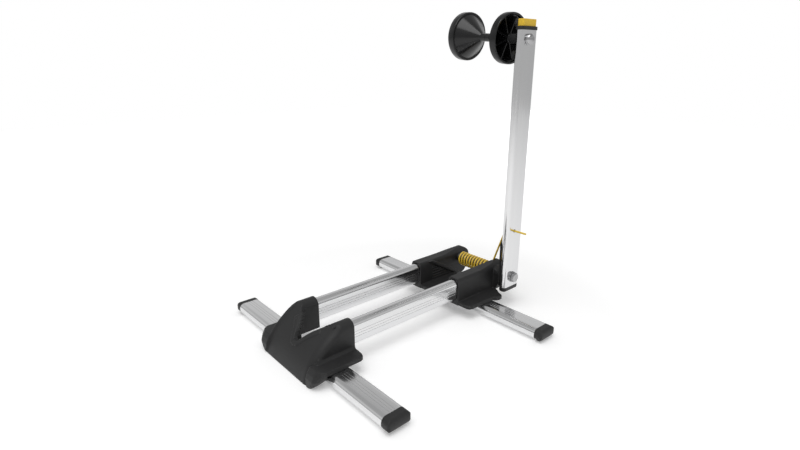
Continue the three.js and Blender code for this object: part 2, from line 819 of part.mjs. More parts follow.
function springPath() {
  const start = onCoil(COIL_START_ANGLE);
  const path = [
    new THREE.Vector3(ANCHOR_END_X, ...start),
    new THREE.Vector3(COIL_START_X - ANCHOR_BEND, ...start),
  ];
  const steps = Math.round(COIL_TURNS * STEPS_PER_TURN);
  for (let i = 1; i <= steps; i += 1) {
    const share = i / steps;
    const x = COIL_START_X + (COIL_END_X - COIL_START_X) * share;
    path.push(new THREE.Vector3(x, ...onCoil(COIL_START_ANGLE + share * COIL_TURNS * 2 * Math.PI)));
  }
  const last = path[path.length - 1];
  const bend = new THREE.Vector3(...LEG_BEND);
  const along = bend.clone().sub(last).normalize();
  const step = (from, up, sideways) =>
    path.push(from.clone().addScaledVector(up[0], up[1]).addScaledVector(sideways[0], sideways[1]));
  step(last, [Z_AXIS, LEG_LIFT], [along, LEG_TURN]);
  step(bend, [along, -BEND_REACH], [X_AXIS, 0]);
  step(bend, [along, -BEND_CORNER], [X_AXIS, BEND_CORNER]);
  step(bend, [along, 0], [X_AXIS, BEND_REACH]);
  path.push(new THREE.Vector3(TIP_END_X, LEG_BEND[1], LEG_BEND[2]));
  return path;
}

// One unbroken tube of constant radius along a path.
function wireTube(path, radius, sides) {
  const rings = path.length;
  const directionAt = (i) => {
    const before = path[Math.max(i - 1, 0)];
    const after = path[Math.min(i + 1, rings - 1)];
    return after.clone().sub(before).normalize();
  };
  const positions = [];
  const faces = [];
  const across = new THREE.Vector3().crossVectors(directionAt(0), Z_AXIS).normalize();
  for (let i = 0; i < rings; i += 1) {
    const direction = directionAt(i);
    across.addScaledVector(direction, -across.dot(direction)).normalize();
    const other = new THREE.Vector3().crossVectors(direction, across);
    for (let k = 0; k < sides; k += 1) {
      const angle = (2 * Math.PI * k) / sides;
      const point = path[i].clone();
      point.addScaledVector(across, radius * Math.cos(angle));
      point.addScaledVector(other, radius * Math.sin(angle));
      positions.push(point.x, point.y, point.z);
    }
  }
  for (let i = 0; i + 1 < rings; i += 1) {
    for (let k = 0; k < sides; k += 1) {
      const a = i * sides + k;
      const b = i * sides + ((k + 1) % sides);
      faces.push(a, b, b + sides, a, b + sides, a + sides);
    }
  }
  for (let k = 1; k + 1 < sides; k += 1) {
    const end = (rings - 1) * sides;
    faces.push(0, k + 1, k, end, end + k, end + k + 1);
  }
  const geometry = new THREE.BufferGeometry();
  geometry.setAttribute("position", new THREE.Float32BufferAttribute(positions, 3));
  geometry.setIndex(faces);
  return geometry;
}

// Least clear distance between two stretches of the wire that are not next to each other.
function leastWireGap(path, radius) {
  const fine = [];
  for (let i = 0; i + 1 < path.length; i += 1) {
    const pieces = Math.max(1, Math.ceil(path[i].distanceTo(path[i + 1]) / 1.5));
    for (let k = 0; k < pieces; k += 1) {
      fine.push(path[i].clone().lerp(path[i + 1], k / pieces));
    }
  }
  let least = Infinity;
  const skip = 12;
  for (let i = 0; i < fine.length; i += 1) {
    for (let k = i + skip; k < fine.length; k += 1) {
      least = Math.min(least, fine[i].distanceTo(fine[k]));
    }
  }
  return least - 2 * radius;
}

function torsionSpring() {
  const path = springPath();
  console.log("torsion_spring least gap to itself " + leastWireGap(path, WIRE_RADIUS).toFixed(2) + " mm");
  return toSolid(wireTube(path, WIRE_RADIUS, WIRE_SIDES));
}

// ---- Arm ----
function armSection(inset) {
  const width = ARM_THICKNESS - 2 * inset;
  return roundedOutline([ARM_X, ARM_Y], width, ARM_DEPTH - 2 * inset, ARM_CORNER - inset);
}

function onRollerAxis(geometry) {
  geometry.rotateY(ROLLER_TILT);
  geometry.rotateZ(-ROLLER_YAW);
  geometry.translate(0, ROLLER_Y, ROLLER_Z);
  return geometry;
}

// A round solid about the roller's tilted axle. The profile is (radius, distance along the axle).
function turnedOnAxle(profile, steps = ROUND_STEPS) {
  const points = profile.map(([radius, along]) => new THREE.Vector2(radius, along));
  const geometry = new THREE.LatheGeometry(points, steps);
  geometry.rotateZ(-Math.PI / 2);
  return toSolid(onRollerAxis(geometry));
}

function axleRod(radius, start, end) {
  return turnedOnAxle([[0, start], [radius, start], [radius, end], [0, end]]);
}

function armTube() {
  return cut(
    prism("z", armSection(0), ARM_BOTTOM, ARM_TOP),
    prism("z", armSection(ARM_WALL), ARM_BOTTOM - OVERLAP, ARM_TOP + OVERLAP),
    rod(BOLT_BORE, 0, THROUGH, HINGE_Y, HINGE_Z),
    rod(TIP_BORE, 0, THROUGH, LEG_BEND[1], LEG_BEND[2], SMALL_ROUND_STEPS),
    axleRod(AXLE_BORE, ...AXLE_HOLE_S),
  );
}

function armInnerPlate() {
  const outline = roundedOutline(
    [(PLATE_Y[0] + PLATE_Y[1]) / 2, (PLATE_Z[0] + PLATE_Z[1]) / 2],
    PLATE_Y[1] - PLATE_Y[0],
    PLATE_Z[1] - PLATE_Z[0],
    PLATE_CORNER,
  );
  return cut(
    prism("x", outline, PLATE_INNER_X, ARM_INNER_X - PLATE_GAP),
    rod(BOLT_BORE, 0, THROUGH, HINGE_Y, HINGE_Z),
  );
}

function armBottomCap() {
  const inset = ARM_WALL + ARM_PLUG_CLEARANCE;
  const body = join(
    prism("z", armSection(BOTTOM_CAP_BEVEL), BOTTOM_CAP_Z, BOTTOM_CAP_Z + BOTTOM_CAP_BEVEL),
    prism("z", armSection(0), BOTTOM_CAP_Z + BOTTOM_CAP_BEVEL, ARM_BOTTOM),
    prism("z", armSection(inset), ARM_BOTTOM - OVERLAP, ARM_BOTTOM + BOTTOM_PLUG_LENGTH),
  );
  return cut(body, rod(BOLT_BORE + CAP_BOLT_ROOM, 0, THROUGH, HINGE_Y, HINGE_Z));
}

function armTopCap() {
  const inset = ARM_WALL + ARM_PLUG_CLEARANCE;
  const plug = prism("z", armSection(inset), ARM_TOP - TOP_PLUG_LENGTH, ARM_TOP + OVERLAP);
  return join(
    prism("z", armSection(-TOP_CAP_OVERHANG), ARM_TOP, ARM_TOP + TOP_CAP_HEIGHT),
    cut(plug, axleRod(AXLE_BORE + CAP_BOLT_ROOM, ...AXLE_HOLE_S)),
  );
}

function armTopPlug() {
  const [left, right] = TOP_BLOCK_X;
  const [front, back] = TOP_BLOCK_Y;
  const centre = [(left + right) / 2, (front + back) / 2];
  const bottom = ARM_TOP + TOP_CAP_HEIGHT;
  const outline = roundedOutline(centre, right - left, back - front, TOP_BLOCK_CORNER);
  return prism("z", outline, bottom, bottom + TOP_BLOCK_HEIGHT);
}

function armBush() {
  return ring(
    BUSH_RADIUS,
    BOLT_BORE,
    ARM_INNER_X + ARM_WALL + BUSH_GAP,
    ARM_OUTER_X - ARM_WALL - BUSH_GAP,
    HINGE_Y,
    HINGE_Z,
  );
}

// ---- Roller ----
// One cone of the pair: neck, taper, rim, hollow outer side, hub and webs.
function rollerCone(side) {
  const start = CONE_GAP / 2;
  const boreRadius = RIM_RADIUS - RIM_WALL;
  const cupFloor = NECK_END_S + CUP_FLOOR_DEPTH;
  const webRoot = NECK_END_S + CONE_WEB_ROOT;
  const profile = [
    [AXLE_BORE, start],
    [NECK_RADIUS, start],
    [NECK_RADIUS, NECK_END_S],
    [RIM_RADIUS - RIM_EDGE, RIM_INNER_S - RIM_EDGE],
    [RIM_RADIUS, RIM_INNER_S],
    [RIM_RADIUS, RIM_OUTER_S - RIM_EDGE],
    [RIM_RADIUS - RIM_EDGE, RIM_OUTER_S],
    [boreRadius, RIM_OUTER_S],
    [boreRadius, RIM_INNER_S + CONE_WALL],
    [HUB_RADIUS + CONE_WALL, cupFloor],
    [HUB_RADIUS, cupFloor],
    [HUB_RADIUS, HUB_END_S],
    [AXLE_BORE, HUB_END_S],
    [AXLE_BORE, start],
  ];
  const along = (points) => {
    const placed = points.map(([radius, s]) => [radius, GROOVE_CENTRE_S + side * s]);
    return side > 0 ? placed : placed.reverse();
  };
  const inside = turnedOnAxle(
    along([
      [HUB_RADIUS - OVERLAP, webRoot],
      [HUB_RADIUS, webRoot],
      [boreRadius + OVERLAP, RIM_INNER_S + OVERLAP],
      [boreRadius + OVERLAP, CONE_WEB_END_S],
      [HUB_RADIUS - OVERLAP, CONE_WEB_END_S],
      [HUB_RADIUS - OVERLAP, webRoot],
    ]),
    CONE_STEPS,
  );
  let whole = turnedOnAxle(along(profile), CONE_STEPS);
  for (let i = 0; i < CONE_WEBS; i += 1) {
    const web = new THREE.BoxGeometry(RIM_OUTER_S, CONE_WEB_THICKNESS, RIM_RADIUS);
    web.translate(GROOVE_CENTRE_S + (side * RIM_OUTER_S) / 2, 0, RIM_RADIUS / 2);
    web.rotateX((2 * Math.PI * (i + 0.5)) / CONE_WEBS);
    whole = join(whole, toSolid(onRollerAxis(web)).intersect(inside));
  }
  return whole;
}

function rollerAxle() {
  const headEnd = GROOVE_CENTRE_S - HUB_END_S - SLIDE_CLEARANCE;
  const headStart = headEnd - AXLE_HEAD_HEIGHT;
  return join(
    axleRod(AXLE_RADIUS, headStart + OVERLAP, AXLE_END_S),
    turnedOnAxle([
      [0, headStart],
      [AXLE_HEAD_RADIUS - AXLE_HEAD_BEVEL, headStart],
      [AXLE_HEAD_RADIUS, headStart + AXLE_HEAD_BEVEL],
      [AXLE_HEAD_RADIUS, headEnd],
      [0, headEnd],
    ]),
  );
}

function rollerSpacer() {
  const start = GROOVE_CENTRE_S + HUB_END_S + SLIDE_CLEARANCE;
  return cut(
    turnedOnAxle([
      [AXLE_BORE, start],
      [SPACER_RADIUS, start],
      [SPACER_RADIUS, SPACER_BLANK_END_S],
      [AXLE_BORE, SPACER_BLANK_END_S],
      [AXLE_BORE, start],
    ]),
    box([ARM_INNER_X - SLIDE_CLEARANCE, THROUGH], [0, THROUGH], [0, THROUGH]),
  );
}

function rollerNut() {
  const blindEnd = AXLE_END_S + DOME_CLEAR;
  const profile = [
    [0, blindEnd],
    [AXLE_BORE, blindEnd],
    [AXLE_BORE, NUT_BLANK_START_S],
    [DOME_RADIUS, NUT_BLANK_START_S],
    ...DOME_OUTLINE.map(([share, depth]) => [DOME_RADIUS * share, DOME_TOP_S - depth]),
  ];
  return cut(
    turnedOnAxle(profile),
    box([0, ARM_OUTER_X + SLIDE_CLEARANCE], [0, THROUGH], [0, THROUGH]),
  );
}

// ---- Screws from beneath ----
function screw(x, y, headBottom, top) {
  return join(
    verticalRod(SCREW_HEAD_RADIUS, x, y, headBottom, headBottom + SCREW_HEAD_HEIGHT),
    verticalRod(SCREW_RADIUS, x, y, headBottom + OVERLAP, top),
  );
}

// ---- Finishes ----
function finish(color, roughness, metalness) {
  return () => new THREE.MeshStandardMaterial({ color, roughness, metalness });
}

const blackPlastic = finish(0x333334, 0.55, 0);
const satinAluminium = finish(0xc9cacc, 0.38, 0.85);
const yellowPaint = finish(0xd6b23a, 0.4, 0);
const rollerPlastic = finish(0x2e2e30, 0.35, 0);
const zincSteel = finish(0x9a9b9d, 0.35, 0.9);
const blackSteel = finish(0x2a2a2c, 0.4, 0.6);

// ---- Assembly ----
const base = new THREE.Group();
base.name = "base";
const arm = new THREE.Group();
arm.name = "arm";

function place(group, name, solid, material) {
  const mesh = new THREE.Mesh(toGeometry(solid), material());
  mesh.name = name;
  group.add(mesh);
}

const footHead = FOOT_BOTTOM - SCREW_HEAD_HEIGHT;
const railHead = TOWER_FLOOR - SCREW_HEAD_HEIGHT;
for (const [side, label] of [[-1, "left"], [1, "right"]]) {
  const [stubStart, stubEnd] = side > 0 ? [STUB_START, FOOT_END] : [-FOOT_END, -STUB_START];
  const screwX = side * FOOT_SCREW_X;
  const stub = footTube(0, stubStart, stubEnd, [screwX], FOOT_Z);
  place(base, "foot_tube_front_" + label, stub, satinAluminium);
  place(base, "foot_cap_front_" + label, footCap(side, 0), blackPlastic);
  place(base, "foot_cap_rear_" + label, footCap(side, REAR_FOOT_Y), blackPlastic);
  place(base, "rail_" + label, rail(side), satinAluminium);
  const frontScrew = screw(screwX, 0, footHead, FRONT_FOOT_SCREW_TOP);
  place(base, "foot_screw_front_" + label, frontScrew, zincSteel);
  const rearScrew = screw(screwX, REAR_FOOT_Y, footHead, REAR_FOOT_SCREW_TOP);
  place(base, "foot_screw_rear_" + label, rearScrew, zincSteel);
  for (const [i, end] of ["front_", "rear_"].entries()) {
    const railScrew = screw(side * RAIL_X, RAIL_SCREW_Y[i], railHead, RAIL_SCREW_TOP);
    place(base, "rail_screw_" + end + label, railScrew, zincSteel);
  }
}
const rearFoot = footTube(REAR_FOOT_Y, -FOOT_END, FOOT_END, [-FOOT_SCREW_X, FOOT_SCREW_X], FLANGE_TOP);
place(base, "foot_tube_rear", rearFoot, satinAluminium);
place(base, "front_bracket", frontBracket(), blackPlastic);
place(base, "rear_bracket", rearBracket(), blackPlastic);
place(base, "hinge_bolt", hingeBolt(), zincSteel);
place(base, "hinge_nut", hingeNut(), blackSteel);
const sleeve = ring(SLEEVE_RADIUS, BOLT_BORE, -SLEEVE_END_X, SLEEVE_END_X, HINGE_Y, HINGE_Z);
place(base, "hinge_sleeve", sleeve, blackSteel);
for (const [label, start] of [["outer", ARM_OUTER_X + SLIDE_CLEARANCE / 2], ["inner", BOSS_END_X]]) {
  const washer = ring(WASHER_RADIUS, BOLT_BORE, start, start + WASHER_THICKNESS, HINGE_Y, HINGE_Z);
  place(base, "hinge_washer_" + label, washer, zincSteel);
}
place(base, "torsion_spring", torsionSpring(), yellowPaint);

place(arm, "arm_tube", armTube(), satinAluminium);
place(arm, "arm_inner_plate", armInnerPlate(), blackPlastic);
place(arm, "arm_bottom_cap", armBottomCap(), blackPlastic);
place(arm, "arm_top_cap", armTopCap(), blackPlastic);
place(arm, "arm_top_plug", armTopPlug(), yellowPaint);
place(arm, "arm_bush", armBush(), zincSteel);
place(arm, "roller_axle", rollerAxle(), zincSteel);
place(arm, "roller_spacer", rollerSpacer(), blackPlastic);
place(arm, "roller_nut", rollerNut(), zincSteel);
place(arm, "roller_cone_left", rollerCone(-1), rollerPlastic);
place(arm, "roller_cone_right", rollerCone(1), rollerPlastic);

const onFloor = new THREE.Group();
onFloor.position.y = -CENTRE_Y;
onFloor.add(base, arm);

const rack = new THREE.Group();
rack.name = "floor_bike_rack";
rack.add(onFloor);

export default rack;
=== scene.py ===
"""Floor bike rack dressed for rendering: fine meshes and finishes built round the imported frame.

Shapes are written in rack millimetres: X to the right along the feet, Y back from the front foot's
centre line, Z up from the floor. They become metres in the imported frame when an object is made.
"""
import logging
import math
from dataclasses import dataclass
from enum import Enum
from typing import Callable, Iterable, Sequence

import bmesh
import bpy
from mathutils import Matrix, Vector


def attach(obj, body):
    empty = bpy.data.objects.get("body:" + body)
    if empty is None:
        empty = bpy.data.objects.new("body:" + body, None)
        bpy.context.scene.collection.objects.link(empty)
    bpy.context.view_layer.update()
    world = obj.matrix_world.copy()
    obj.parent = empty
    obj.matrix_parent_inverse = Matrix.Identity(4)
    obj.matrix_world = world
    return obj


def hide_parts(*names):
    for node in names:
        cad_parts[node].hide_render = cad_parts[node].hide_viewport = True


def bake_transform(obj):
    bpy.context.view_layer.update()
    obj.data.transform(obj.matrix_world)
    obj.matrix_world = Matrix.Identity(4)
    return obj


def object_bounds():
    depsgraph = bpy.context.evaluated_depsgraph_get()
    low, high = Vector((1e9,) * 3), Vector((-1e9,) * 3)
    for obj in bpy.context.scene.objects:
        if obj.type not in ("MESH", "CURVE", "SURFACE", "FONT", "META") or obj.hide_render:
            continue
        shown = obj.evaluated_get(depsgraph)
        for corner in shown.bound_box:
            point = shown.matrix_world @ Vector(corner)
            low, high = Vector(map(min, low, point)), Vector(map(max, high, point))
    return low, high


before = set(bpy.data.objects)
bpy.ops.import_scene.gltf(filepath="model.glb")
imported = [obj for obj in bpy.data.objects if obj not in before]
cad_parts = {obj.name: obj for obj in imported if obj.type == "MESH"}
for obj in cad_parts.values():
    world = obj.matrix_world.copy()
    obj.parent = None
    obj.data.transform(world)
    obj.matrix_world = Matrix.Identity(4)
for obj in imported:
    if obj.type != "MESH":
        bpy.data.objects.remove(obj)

LOG = logging.getLogger("rack")
CAD_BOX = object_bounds()

MM = 0.001
FRONT_LIP_Y = -35
CENTRE_Y = round(FRONT_LIP_Y - CAD_BOX[0][1] / MM, 3)
QUARTER = math.pi / 2

Pair = tuple[float, float]
Triple = tuple[float, float, float]
Outline = list[Pair]
Placer = Callable[[float, float, float], Triple]


class Axis(Enum):
    """Direction that an outline is pulled along."""

    X = 0
    Y = 1
    Z = 2


class Side(Enum):
    """Left or right half of the rack, as a sign along X."""

    LEFT = -1
    RIGHT = 1


# ---- Outlines and shapes ----
@dataclass
class Shape:
    """A closed surface in rack millimetres.

    Args:
        points: Corner positions.
        faces: Corner indices of each face.
    """

    points: list[Triple]
    faces: list[tuple[int, ...]]


def to_frame(point: Triple) -> Triple:
    """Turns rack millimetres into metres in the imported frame."""
    return (point[0] * MM, (point[1] - CENTRE_Y) * MM, point[2] * MM)


def arc(centre: Pair, radius: float, start: float, end: float, steps: int) -> Outline:
    """Points along a circular arc.

    Args:
        centre: Middle of the circle.
        radius: Its radius.
        start: First angle in radians.
        end: Last angle in radians.
        steps: Number of chords.

    Returns:
        The points, both ends included.
    """
    angles = [start + (end - start) * i / steps for i in range(steps + 1)]
    return [(centre[0] + radius * math.cos(a), centre[1] + radius * math.sin(a)) for a in angles]


def mirrored(outline: Outline) -> Outline:
    """The outline turned over left to right, still counter-clockwise."""
    return [(-u, v) for u, v in reversed(outline)]


def sided(outline: Outline, side: Side) -> Outline:
    """A right-hand outline, mirrored for the left-hand side."""
    return list(outline) if side is Side.RIGHT else mirrored(outline)


def smoothed(table: Sequence[Pair], pieces: int) -> Outline:
    """A Catmull-Rom curve through a table of points.

    Args:
        table: The points to pass through.
        pieces: Chords between two neighbours.

    Returns:
        The finer row of points.
    """
    padded = [table[0], *table, table[-1]]
    fine: Outline = []
    for i in range(1, len(padded) - 2):
        for k in range(pieces):
            t = k / pieces
            u, v = (
                0.5
                * (
                    2 * b
                    + (c - a) * t
                    + (2 * a - 5 * b + 4 * c - d) * t * t
                    + (3 * b - a - 3 * c + d) * t**3
                )
                for a, b, c, d in zip(*padded[i - 1 : i + 3])
            )
            fine.append((u, v))
    return [*fine, table[-1]]


def lifted(axis: Axis, u: float, v: float, along: float) -> Triple:
    """A point from its place in a section and its place along the section's axis.

    Args:
        axis: The axis.
        u: First place in the section.
        v: Second place in the section.
        along: Place along the axis.

    Returns:
        The place.
    """
    corner = [u, v]
    corner.insert(axis.value, along)
    return (corner[0], corner[1], corner[2])


def prism(axis: Axis, outline: Outline, start: float, end: float) -> Shape:
    """An outline pulled along one axis.

    Args:
        axis: The direction. The outline is (y, z) for X, (x, z) for Y and (x, y) for Z.
        outline: The section.
        start: Where the prism begins along the axis.
        end: Where it stops.

    Returns:
        The closed shape.
    """
    count = len(outline)
    points = [lifted(axis, u, v, along) for along in (start, end) for u, v in outline]
    faces = [(i, (i + 1) % count, count + (i + 1) % count, count + i) for i in range(count)]
    faces.append(tuple(reversed(range(count))))
    faces.append(tuple(range(count, 2 * count)))
    return Shape(points, faces)


def pipe(axis: Axis, outer: Outline, inner: Outline, start: float, end: float) -> Shape:
    """A hollow prism whose two outlines have the same number of points.

    Args:
        axis: Direction of the pipe.
        outer: Outside section.
        inner: Inside section.
        start: First end.
        end: Second end.

    Returns:
        The closed shape.
    """
    outside = prism(axis, outer, start, end)
    inside = prism(axis, inner, start, end)
    count = len(outer)
    shift = 2 * count
    faces = outside.faces[:-2]
    faces += [tuple(shift + i for i in reversed(face)) for face in inside.faces[:-2]]
    for level in (0, count):
        for i in range(count):
            j = (i + 1) % count
            faces.append((level + i, level + j, shift + level + j, shift + level + i))
    return Shape(outside.points + inside.points, faces)


def block(x: Pair, y: Pair, z: Pair) -> Shape:
    """A box between two corners, as the ranges along X, Y and Z."""
    outline = [(x[0], y[0]), (x[1], y[0]), (x[1], y[1]), (x[0], y[1])]
    return prism(Axis.Z, outline, z[0], z[1])


def lofted(levels: Sequence[tuple[float, Outline]]) -> Shape:
    """Level outlines of equal length joined from the bottom up.

    Args:
        levels: Height and (x, y) outline of each level.

    Returns:
        The closed shape.
    """
    count = len(levels[0][1])
    points = [(x, y, z) for z, outline in levels for x, y in outline]
    faces: list[tuple[int, ...]] = []
    for level in range(len(levels) - 1):
        low = level * count
        for i in range(count):
            j = (i + 1) % count
            faces.append((low + i, low + j, low + count + j, low + count + i))
    top = (len(levels) - 1) * count
    faces.append(tuple(reversed(range(count))))
    faces.append(tuple(range(top, top + count)))
    return Shape(points, faces)


def turned(profile: Outline, steps: int, placer: Placer) -> Shape:
    """A closed profile turned about a line.

    Args:
        profile: (radius, distance along the line) points of the closed profile.
        steps: Facets round the line.
        placer: Gives the place of a radius, a distance along and an angle.

    Returns:
        The closed shape.
    """
    count = len(profile)
    points = []
    for k in range(steps):
        angle = 2 * math.pi * k / steps
        points += [placer(radius, along, angle) for radius, along in profile]
    faces: list[tuple[int, ...]] = []
    for k in range(steps):
        here = k * count
        there = ((k + 1) % steps) * count
        for i in range(count):
            j = (i + 1) % count
            if profile[i][0] < 1e-9 and profile[j][0] < 1e-9:
                continue
            faces.append((here + i, here + j, there + j, there + i))
    return Shape(points, faces)


def rounded_box(
    centre: Pair,
    width: float,
    height: float,
    corner: float,
    steps: int = 10,
    marks: Sequence[Pair] = (),
) -> Outline:
    """A rounded rectangle with optional marks in its two faces across the second axis.

    Args:
        centre: Middle of the rectangle.
        width: Size along the first axis.
        height: Size along the second axis.
        corner: Corner radius.
        steps: Chords in each corner.
        marks: (place along the first axis, depth below the face) points, from + to -.

    Returns:
        The outline, counter-clockwise.
    """
    u, v = centre
    reach_u = width / 2 - corner
    reach_v = height / 2 - corner
    top = [(u + at, v + height / 2 - depth) for at, depth in marks]
    low = [(u - at, v - height / 2 + depth) for at, depth in marks]
    return [
        *arc((u + reach_u, v + reach_v), corner, 0, QUARTER, steps),
        *top,
        *arc((u - reach_u, v + reach_v), corner, QUARTER, 2 * QUARTER, steps),
        *arc((u - reach_u, v - reach_v), corner, 2 * QUARTER, 3 * QUARTER, steps),
        *low,
        *arc((u + reach_u, v - reach_v), corner, 3 * QUARTER, 4 * QUARTER, steps),
    ]


def swapped(outline: Outline) -> Outline:
    """The outline with its two axes exchanged, still counter-clockwise."""
    return [(v, u) for u, v in reversed(outline)]


def regular(centre: Pair, flats: float, sides: int) -> Outline:
    """A regular polygon measured across its flats."""
    radius = flats / 2 / math.cos(math.pi / sides)
    return arc(centre, radius, 0, 2 * math.pi * (sides - 1) / sides, sides - 1)


def about(axis: Axis, u: float, v: float) -> Placer:
    """Places a turned profile about a line along an axis through (u, v).

    Args:
        axis: The axis.
        u: First place in the section.
        v: Second place in the section.

    Returns:
        The placer.
    """
    return lambda radius, along, angle: lifted(
        axis, u + radius * math.cos(angle), v + radius * math.sin(angle), along
    )


def rod(radius: float, start: float, end: float, steps: int, placer: Placer) -> Shape:
    """A plain cylinder from one place along a placer's line to another."""
    return turned([(0, start), (radius, start), (radius, end), (0, end)], steps, placer)


def swept(path: Sequence[Vector], radius: float, sides: int) -> Shape:
    """A round wire with domed ends along a path.

    Args:
        path: The centre line.
        radius: The wire's radius.
        sides: Facets round it.

    Returns:
        The closed shape.
    """
    stations: list[tuple[Vector, float]] = []
    first = (path[1] - path[0]).normalized()
    last = (path[-1] - path[-2]).normalized()
    dome = [math.radians(a) for a in (4, 30, 60)]
    for a in dome:
        stations.append((path[0] - first * radius * 0.6 * math.cos(a), radius * math.sin(a)))
    stations += [(point, radius) for point in path]
    for a in reversed(dome):
        stations.append((path[-1] + last * radius * 0.6 * math.cos(a), radius * math.sin(a)))
    across = first.cross(Vector((0, 0, 1))).normalized()
    points: list[Triple] = []
    for i, (centre, size) in enumerate(stations):
        before = stations[max(i - 1, 0)][0]
        after = stations[min(i + 1, len(stations) - 1)][0]
        direction = (after - before).normalized()
        across = (across - direction * across.dot(direction)).normalized()
        other = direction.cross(across)
        for k in range(sides):
            angle = 2 * math.pi * k / sides
            points.append(
                tuple(centre + across * size * math.cos(angle) + other * size * math.sin(angle))
            )
    faces: list[tuple[int, ...]] = []
    for i in range(len(stations) - 1):
        for k in range(sides):
            a = i * sides + k
            b = i * sides + (k + 1) % sides
            faces.append((a, b, b + sides, a + sides))
    end = (len(stations) - 1) * sides
    faces.append(tuple(reversed(range(sides))))
    faces.append(tuple(range(end, end + sides)))
    return Shape(points, faces)


# ---- Objects ----
def make_object(name: str, shapes: Iterable[Shape]) -> bpy.types.Object:
    """Makes one mesh object from closed shapes.

    Args:
        name: The object's name.
        shapes: The shapes it holds.

    Returns:
        The new object, linked to the scene.
    """
    builder = bmesh.new()
    for shape in shapes:
        corners = [builder.verts.new(to_frame(point)) for point in shape.points]
        for face in shape.faces:
            builder.faces.new([corners[i] for i in face])
    bmesh.ops.remove_doubles(builder, verts=builder.verts, dist=1e-7)
    bmesh.ops.recalc_face_normals(builder, faces=builder.faces)
    mesh = bpy.data.meshes.new(name)
    builder.to_mesh(mesh)
    builder.free()
    obj = bpy.data.objects.new(name, mesh)
    bpy.context.scene.collection.objects.link(obj)
    return obj


def settle(obj: bpy.types.Object) -> None:
    """Replaces an object's mesh by what its modifiers make of it.

    Args:
        obj: The object.
    """
    depsgraph = bpy.context.evaluated_depsgraph_get()
    done = bpy.data.meshes.new_from_object(
        obj.evaluated_get(depsgraph), preserve_all_data_layers=True, depsgraph=depsgraph
    )
    old = obj.data
    obj.modifiers.clear()
    obj.data = done
    bpy.data.meshes.remove(old)


def carve(obj: bpy.types.Object, shapes: Sequence[Shape], operation: str) -> None:
    """Joins shapes to an object, cuts them from it, or keeps what they share.

    Args:
        obj: The object to change.
        shapes: The shapes to apply one after another.
        operation: UNION, DIFFERENCE or INTERSECT.
    """
    tools = []
    for shape in shapes:
        tool = make_object("tool", [shape])
        modifier = obj.modifiers.new("carve", "BOOLEAN")
        modifier.operation = operation
        modifier.solver = "EXACT"
        modifier.object = tool
        tools.append(tool)
    settle(obj)
    for tool in tools:
        mesh = tool.data
        bpy.data.objects.remove(tool)
        bpy.data.meshes.remove(mesh)


def join_mesh(obj: bpy.types.Object, extra: bpy.types.Object) -> None:
    """Adds another object's faces to an object and removes that other object.

    Args:
        obj: The object.
        extra: The object that it takes in.
    """
    builder = bmesh.new()
    builder.from_mesh(obj.data)
    builder.from_mesh(extra.data)
    builder.to_mesh(obj.data)
    builder.free()
    bpy.data.objects.remove(extra)


def mould(obj: bpy.types.Object, voxel: float, rounds: int) -> None:
    """Turns a carved blank into one smooth moulded skin.

    Args:
        obj: The blank.
        voxel: Cell size in millimetres.
        rounds: Smoothing rounds, which set the edges' softness.
    """
    remesh = obj.modifiers.new("skin", "REMESH")
    remesh.mode = "VOXEL"
    remesh.voxel_size = voxel * MM
    smooth = obj.modifiers.new("soften", "SMOOTH")
    smooth.factor = 0.5
    smooth.iterations = rounds
    settle(obj)
    shade_smooth(obj)


def shade_smooth(obj: bpy.types.Object, sharp_above: float | None = None) -> None:
    """Shades an object smooth.

    Args:
        obj: The object.
        sharp_above: Edge angle in degrees that stays sharp, or None for none.
    """
    obj.data.polygons.foreach_set("use_smooth", [True] * len(obj.data.polygons))
    if sharp_above is not None:
        obj.data.set_sharp_from_angle(angle=math.radians(sharp_above))


def bevelled(obj: bpy.types.Object, width: float, segments: int = 3, angle: float = 32) -> None:
    """Rounds an object's sharp edges and shades it by face area.

    Args:
        obj: The object.
        width: Bevel width in millimetres.
        segments: Bevel segments.
        angle: Edge angle in degrees above which an edge is rounded.
    """
    bevel = obj.modifiers.new("edges", "BEVEL")
    bevel.width = width * MM
    bevel.segments = segments
    bevel.limit_method = "ANGLE"
    bevel.angle_limit = math.radians(angle)
    bevel.use_clamp_overlap = True
    shade_smooth(obj)
    weighted = obj.modifiers.new("shade", "WEIGHTED_NORMAL")
    weighted.keep_sharp = True
    settle(obj)


# ---- Finishes ----
class Slot(Enum):
    """The record's material slots."""

    ALUMINIUM = "satin_aluminium"
    BLACK = "black_plastic"
    ROLLER = "roller_plastic"
    WIRE = "yellow_paint"
    YELLOW = "yellow_plastic"
    ZINC = "zinc_steel"
    BLACK_STEEL = "black_steel"


def scaled(colour: Triple, share: float) -> Triple:
    """A colour made darker or lighter, up to white."""
    red, green, blue = (min(1.0, part * share) for part in colour)
    return (red, green, blue)


